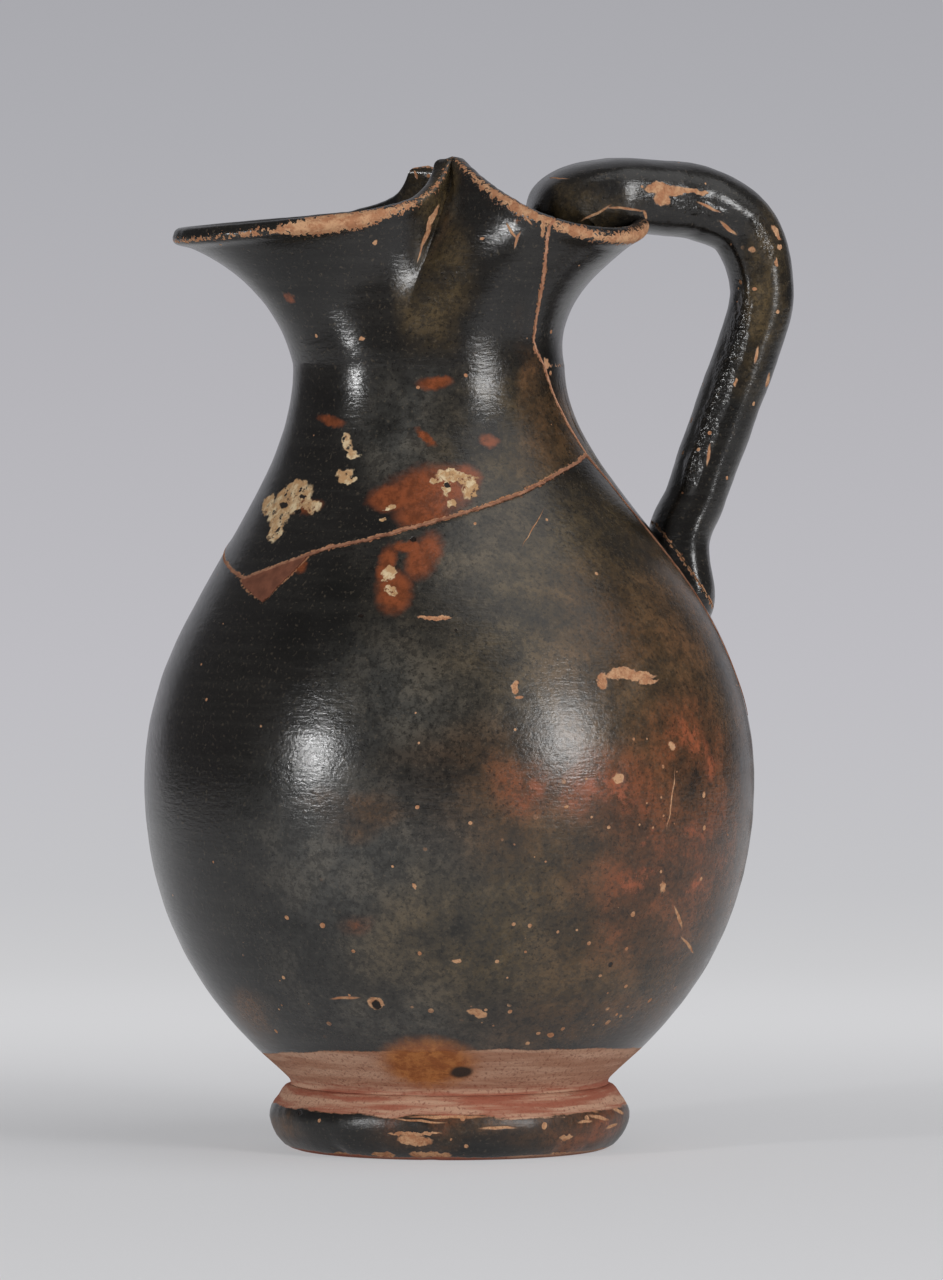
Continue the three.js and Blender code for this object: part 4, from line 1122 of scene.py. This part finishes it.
middles = [Vector((x, 0, z)) for x, z, *_ in stations]
handle_rows = []
for i in range(HANDLE_RINGS + 1):
    share = i / HANDLE_RINGS
    centre = through(middles, share)
    along = (through(middles, min(1, share + STEP)) - through(middles, max(0, share - STEP))).normalized()
    at = share * (len(stations) - 1)
    j = min(int(at), len(stations) - 2)
    thick, wide, square = (
        mix(stations[j][k], stations[j + 1][k], ramp(0, 1, at - j)) for k in (2, 3, 4)
    )
    from_round = 1 - min(1, min(share, 1 - share) / HANDLE_END_ROUNDING)
    round_ = math.sqrt(1 - 0.7 * from_round**2)
    ring = []
    for k in range(HANDLE_SIDES + 1):
        angle = math.tau * k / HANDLE_SIDES
        flat, edge = (
            math.copysign(abs(value) ** (2 / square), value) for value in (math.cos(angle), math.sin(angle))
        )
        side = Vector((along.z * flat * thick, edge * wide, -along.x * flat * thick))
        point = centre + side * round_
        lump = 0.2 * noise.noise(point * 0.12) + 0.05 * noise.noise(point * 0.6)
        ring.append(point + side.normalized() * (lump - 0.25 + ridge(angle) * ramp(0.3, 0.45, share)))
    handle_rows.append(ring)
for end in (0, -1):
    ring = handle_rows[end]
    middle = sum(ring[:-1], Vector()) / HANDLE_SIDES
    handle_rows.insert(0 if end == 0 else len(handle_rows), [middle] * len(ring))


def shoulder_block(name, grown):
    """Everything inside the outer surface from belly to neck, grown by some mm, to cut with."""
    rows = []
    for i in range(BLOCK_COLUMNS + 1):
        loop = [Vector((NECK_LEAN / 2, 0, BELLY_HEIGHT))]
        for j in range(BLOCK_ROWS + 1):
            column, stage = i / BLOCK_COLUMNS, 1 + j / BLOCK_ROWS
            outward, _ = wall_axes(column, stage)
            loop.append(outer_point(column, stage) + outward * grown)
        loop.append(Vector((NECK_LEAN / 2, 0, NECK_HEIGHT)))
        rows.append(loop)
    return wrap_sheet(name, rows)


def carve(piece, tool, operation):
    cut = piece.modifiers.new(tool.name, "BOOLEAN")
    cut.object, cut.operation, cut.solver = tool, operation, "EXACT"
    bpy.ops.object.select_all(action="DESELECT")
    bpy.context.view_layer.objects.active = piece
    piece.select_set(True)
    bpy.ops.object.modifier_apply(modifier=cut.name)


# Back sherd: the wall right of the upright break, with the handle's stump left standing on it.
back = wrap_sheet("back_sherd", sherd_rows(
    back_left, back_right,
    spread((corner_column(back_left), 0.5, 62), (0.5, corner_column(back_right), 74)), (0.5, 0.5),
))
stump = wrap_sheet("stump", handle_rows)
proud = shoulder_block("proud", STUMP_PROUD)
sunk = shoulder_block("sunk", -STUMP_BITE)
carve(stump, proud, "INTERSECT")
carve(stump, sunk, "DIFFERENCE")
carve(back, stump, "UNION")
bpy.ops.object.shade_smooth_by_angle(angle=SMOOTH_UNDER)
handle = wrap_sheet("strap_handle", handle_rows)
clear = shoulder_block("clear", STUMP_PROUD + STUMP_GAP)
carve(handle, clear, "DIFFERENCE")
carve(handle, back, "DIFFERENCE")
bpy.ops.object.shade_smooth_by_angle(angle=SMOOTH_UNDER)
for piece, cutter in ((back, proud), (handle, clear)):
    # how far each vertex lies from the broken root, in mm
    far = [(cutter.closest_point_on_mesh(v.co)[1] - v.co).length / MM for v in piece.data.vertices]
    piece.data.attributes.new("to_root", "FLOAT", "POINT").data.foreach_set("value", far)
for tool in (stump, proud, sunk, clear):
    bpy.data.objects.remove(tool)

back_spots = {
    "olive": ((590, 440, 30, 70),),
    "brown": ((570, 400, 20, 50, 10),),
    # chips along the near break and the root
    "bare": (
        (634, 524, 5, 3, 30), (544, 230, 2, 10), (540, 304, 2, 4), (546, 364, 2, 6, -20),
        (677, 566, 3, 6, -20),
    ),
    "spalls": ((546, 330, 5, 60), (675, 560, 14, 26)),
}
mark_distance(back, "to_lip", lip_line, lip_widths)
ROOT_WEAR = ("to_root", 0.06, 1.0, 1.6)
mark_distance(back, "to_break", shoulder_line + near_line + far_line)
slip_gloss(
    "black slip gloss on the back of the neck", back, back_spots, [LIP_WEAR, BREAK_WEAR, ROOT_WEAR]
)
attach(back, "root")
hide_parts("neck_back_sherd")

handle_spots = {
    "olive": ((765, 310, 14, 70, 8), (580, 205, 30, 12)),
    # a long tan patch on top, and chips and specks down the outer edge
    "bare": (
        (656, 188, 11, 6), (669, 190, 19, 5), (663, 198, 8, 7, 20), (692, 191, 18, 2.6, 3),
        (776, 233, 2.5, 8, -28), (780, 247, 2.5, 3), (777, 262, 1.6, 5), (752, 249, 2.5, 3, 30),
        (735, 383, 1.6, 4), (727, 478, 1.6, 2),
    ),
    "scratch": (
        (728, 228, 10, 1.6, 42), (708, 207, 12, 1.4, 24), (596, 213, 15, 1.3, -28),
        (626, 209, 18, 1.2, 6), (645, 215, 1.6, 5, -20), (556, 178, 14, 0.6, 3), (757, 355, 1.5, 8, 10),
        (768, 380, 1.6, 7, 12), (708, 455, 1.4, 10, 8),
    ),
    "spalls": ((730, 330, 20, 90, 8), (690, 470, 20, 60, 8), (690, 205, 50, 10, 10)),
    # slip that crawled and wrinkled along the inner ridge
    "wrinkled": (
        (744, 312, 6, 24, 10), (736, 340, 9, 30, 10), (722, 385, 9, 34, 12), (707, 430, 9, 30, 12),
        (692, 470, 8, 22, 12), (764, 240, 8, 24, -25), (690, 206, 36, 7, 14),
    ),
}
slip_gloss("black slip gloss on the handle", handle, handle_spots, [ROOT_WEAR], sheen=0.22)
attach(handle, "root")
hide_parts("handle")


# Fills: tinted plaster that the mender ran into the breaks and built up in the one lost corner. It
# is matte and a little lower than the slip on either side.
SEAM_RECESS = 0.12
FILL_ROWS, FILL_LIP_ANGLES = 240, (15, 30, 45, 60, 75)
CORNER_COLUMNS, CORNER_ROWS, CORNER_INSET = 60, 16, 0.002


def plaster(name, piece, dark, pale):
    """Matte tinted plaster (IOR about 1.5, roughness 0.85): no gloss, faint mottling from the brush
    and from dust."""
    look = bpy.data.materials.new(name)
    look.use_nodes = True
    tree = look.node_tree
    place = add_node(tree, "ShaderNodeTexCoord").outputs["Object"]
    mottle = add_node(tree, "ShaderNodeTexNoise", None, {
        "Vector": place, "Scale": 1 / (1.6 * MM), "Detail": 5.0,
    })
    tint = add_node(tree, "ShaderNodeValToRGB", None, {"Fac": mottle.outputs["Fac"]})
    tint.color_ramp.elements[0].position, tint.color_ramp.elements[1].position = 0.35, 0.65
    tint.color_ramp.elements[0].color, tint.color_ramp.elements[1].color = linear(dark), linear(pale)
    shader = tree.nodes["Principled BSDF"]
    tree.links.new(tint.outputs["Color"], shader.inputs["Base Color"])
    shader.inputs["Roughness"].default_value = 0.85
    bump = add_node(tree, "ShaderNodeBump", None, {"Height": mottle.outputs["Fac"], "Distance": 0.2 * MM})
    tree.links.new(bump.outputs["Normal"], shader.inputs["Normal"])
    piece.data.materials.append(look)


def fill_rows(edges):
    """Rows of points round a strip of plaster: each from one edge to the other outside, then inside."""
    rows = []
    for places in edges:
        outer, inner = [], []
        for column, stage in places:
            outward, _ = wall_axes(column, stage)
            outer.append(outer_point(column, stage) - outward * SEAM_RECESS)
            inner.append(outer_point(column, stage) - outward * (wall_at(stage) - SEAM_RECESS))
        rows.append(round_wall(outer, inner))
    return rows


shoulder_fill = wrap_sheet("plaster_in_shoulder_break", fill_rows(
    [(i / BREAK_STEPS, s) for s in (
        beside_break(i / BREAK_STEPS, -SEAM_WIDTH / 2), sherd_foot(i / BREAK_STEPS)
    )]
    for i in range(BREAK_STEPS + 1)
))
neck_fills = []
for name, left, right in (
    ("plaster_in_near_break", front_right, back_left), ("plaster_in_far_break", back_right, front_left),
):
    low = sherd_foot(left(sherd_foot(left(2))))
    stages = [mix(low, 3, i / FILL_ROWS) for i in range(FILL_ROWS + 1)]
    rows = fill_rows([(left(s), s), (right(s), s)] for s in stages)
    half = WALL_AT_LIP / 2
    for degrees in FILL_LIP_ANGLES:  # and so over the lip's round edge
        outer, inner = zip(*(
            over_lip(edge(3), degrees, half - SEAM_RECESS, half - 2 * SEAM_RECESS)
            for edge in (left, right)
        ))
        rows.append(round_wall(outer, inner))
    neck_fills.append(wrap_sheet(name, close_ends(rows)))
start, _, end = LOST_CORNER
corner_rows = []
for i in range(CORNER_COLUMNS + 1):
    column = mix(start + CORNER_INSET, end - CORNER_INSET, i / CORNER_COLUMNS)
    low, high = belly_head(column), beside_break(column, -SEAM_WIDTH / 2)
    corner_rows.append([(column, mix(low, high, j / CORNER_ROWS)) for j in range(CORNER_ROWS + 1)])
corner_fill = wrap_sheet("plaster_in_lost_corner", close_ends(fill_rows(corner_rows)))
for piece, node, dark, pale in (
    (shoulder_fill, "shoulder_seam_fill", "#7d4f39", "#ab7a5e"),
    (neck_fills[0], "near_neck_seam_fill", "#a87052", "#cc9a7c"),
    (neck_fills[1], "far_neck_seam_fill", "#a87052", "#cc9a7c"),
    (corner_fill, "lost_corner_fill", "#663a27", "#7f4c36"),
):
    plaster("tinted " + piece.name.replace("_", " "), piece, dark, pale)
    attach(piece, "root")
    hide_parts(node)
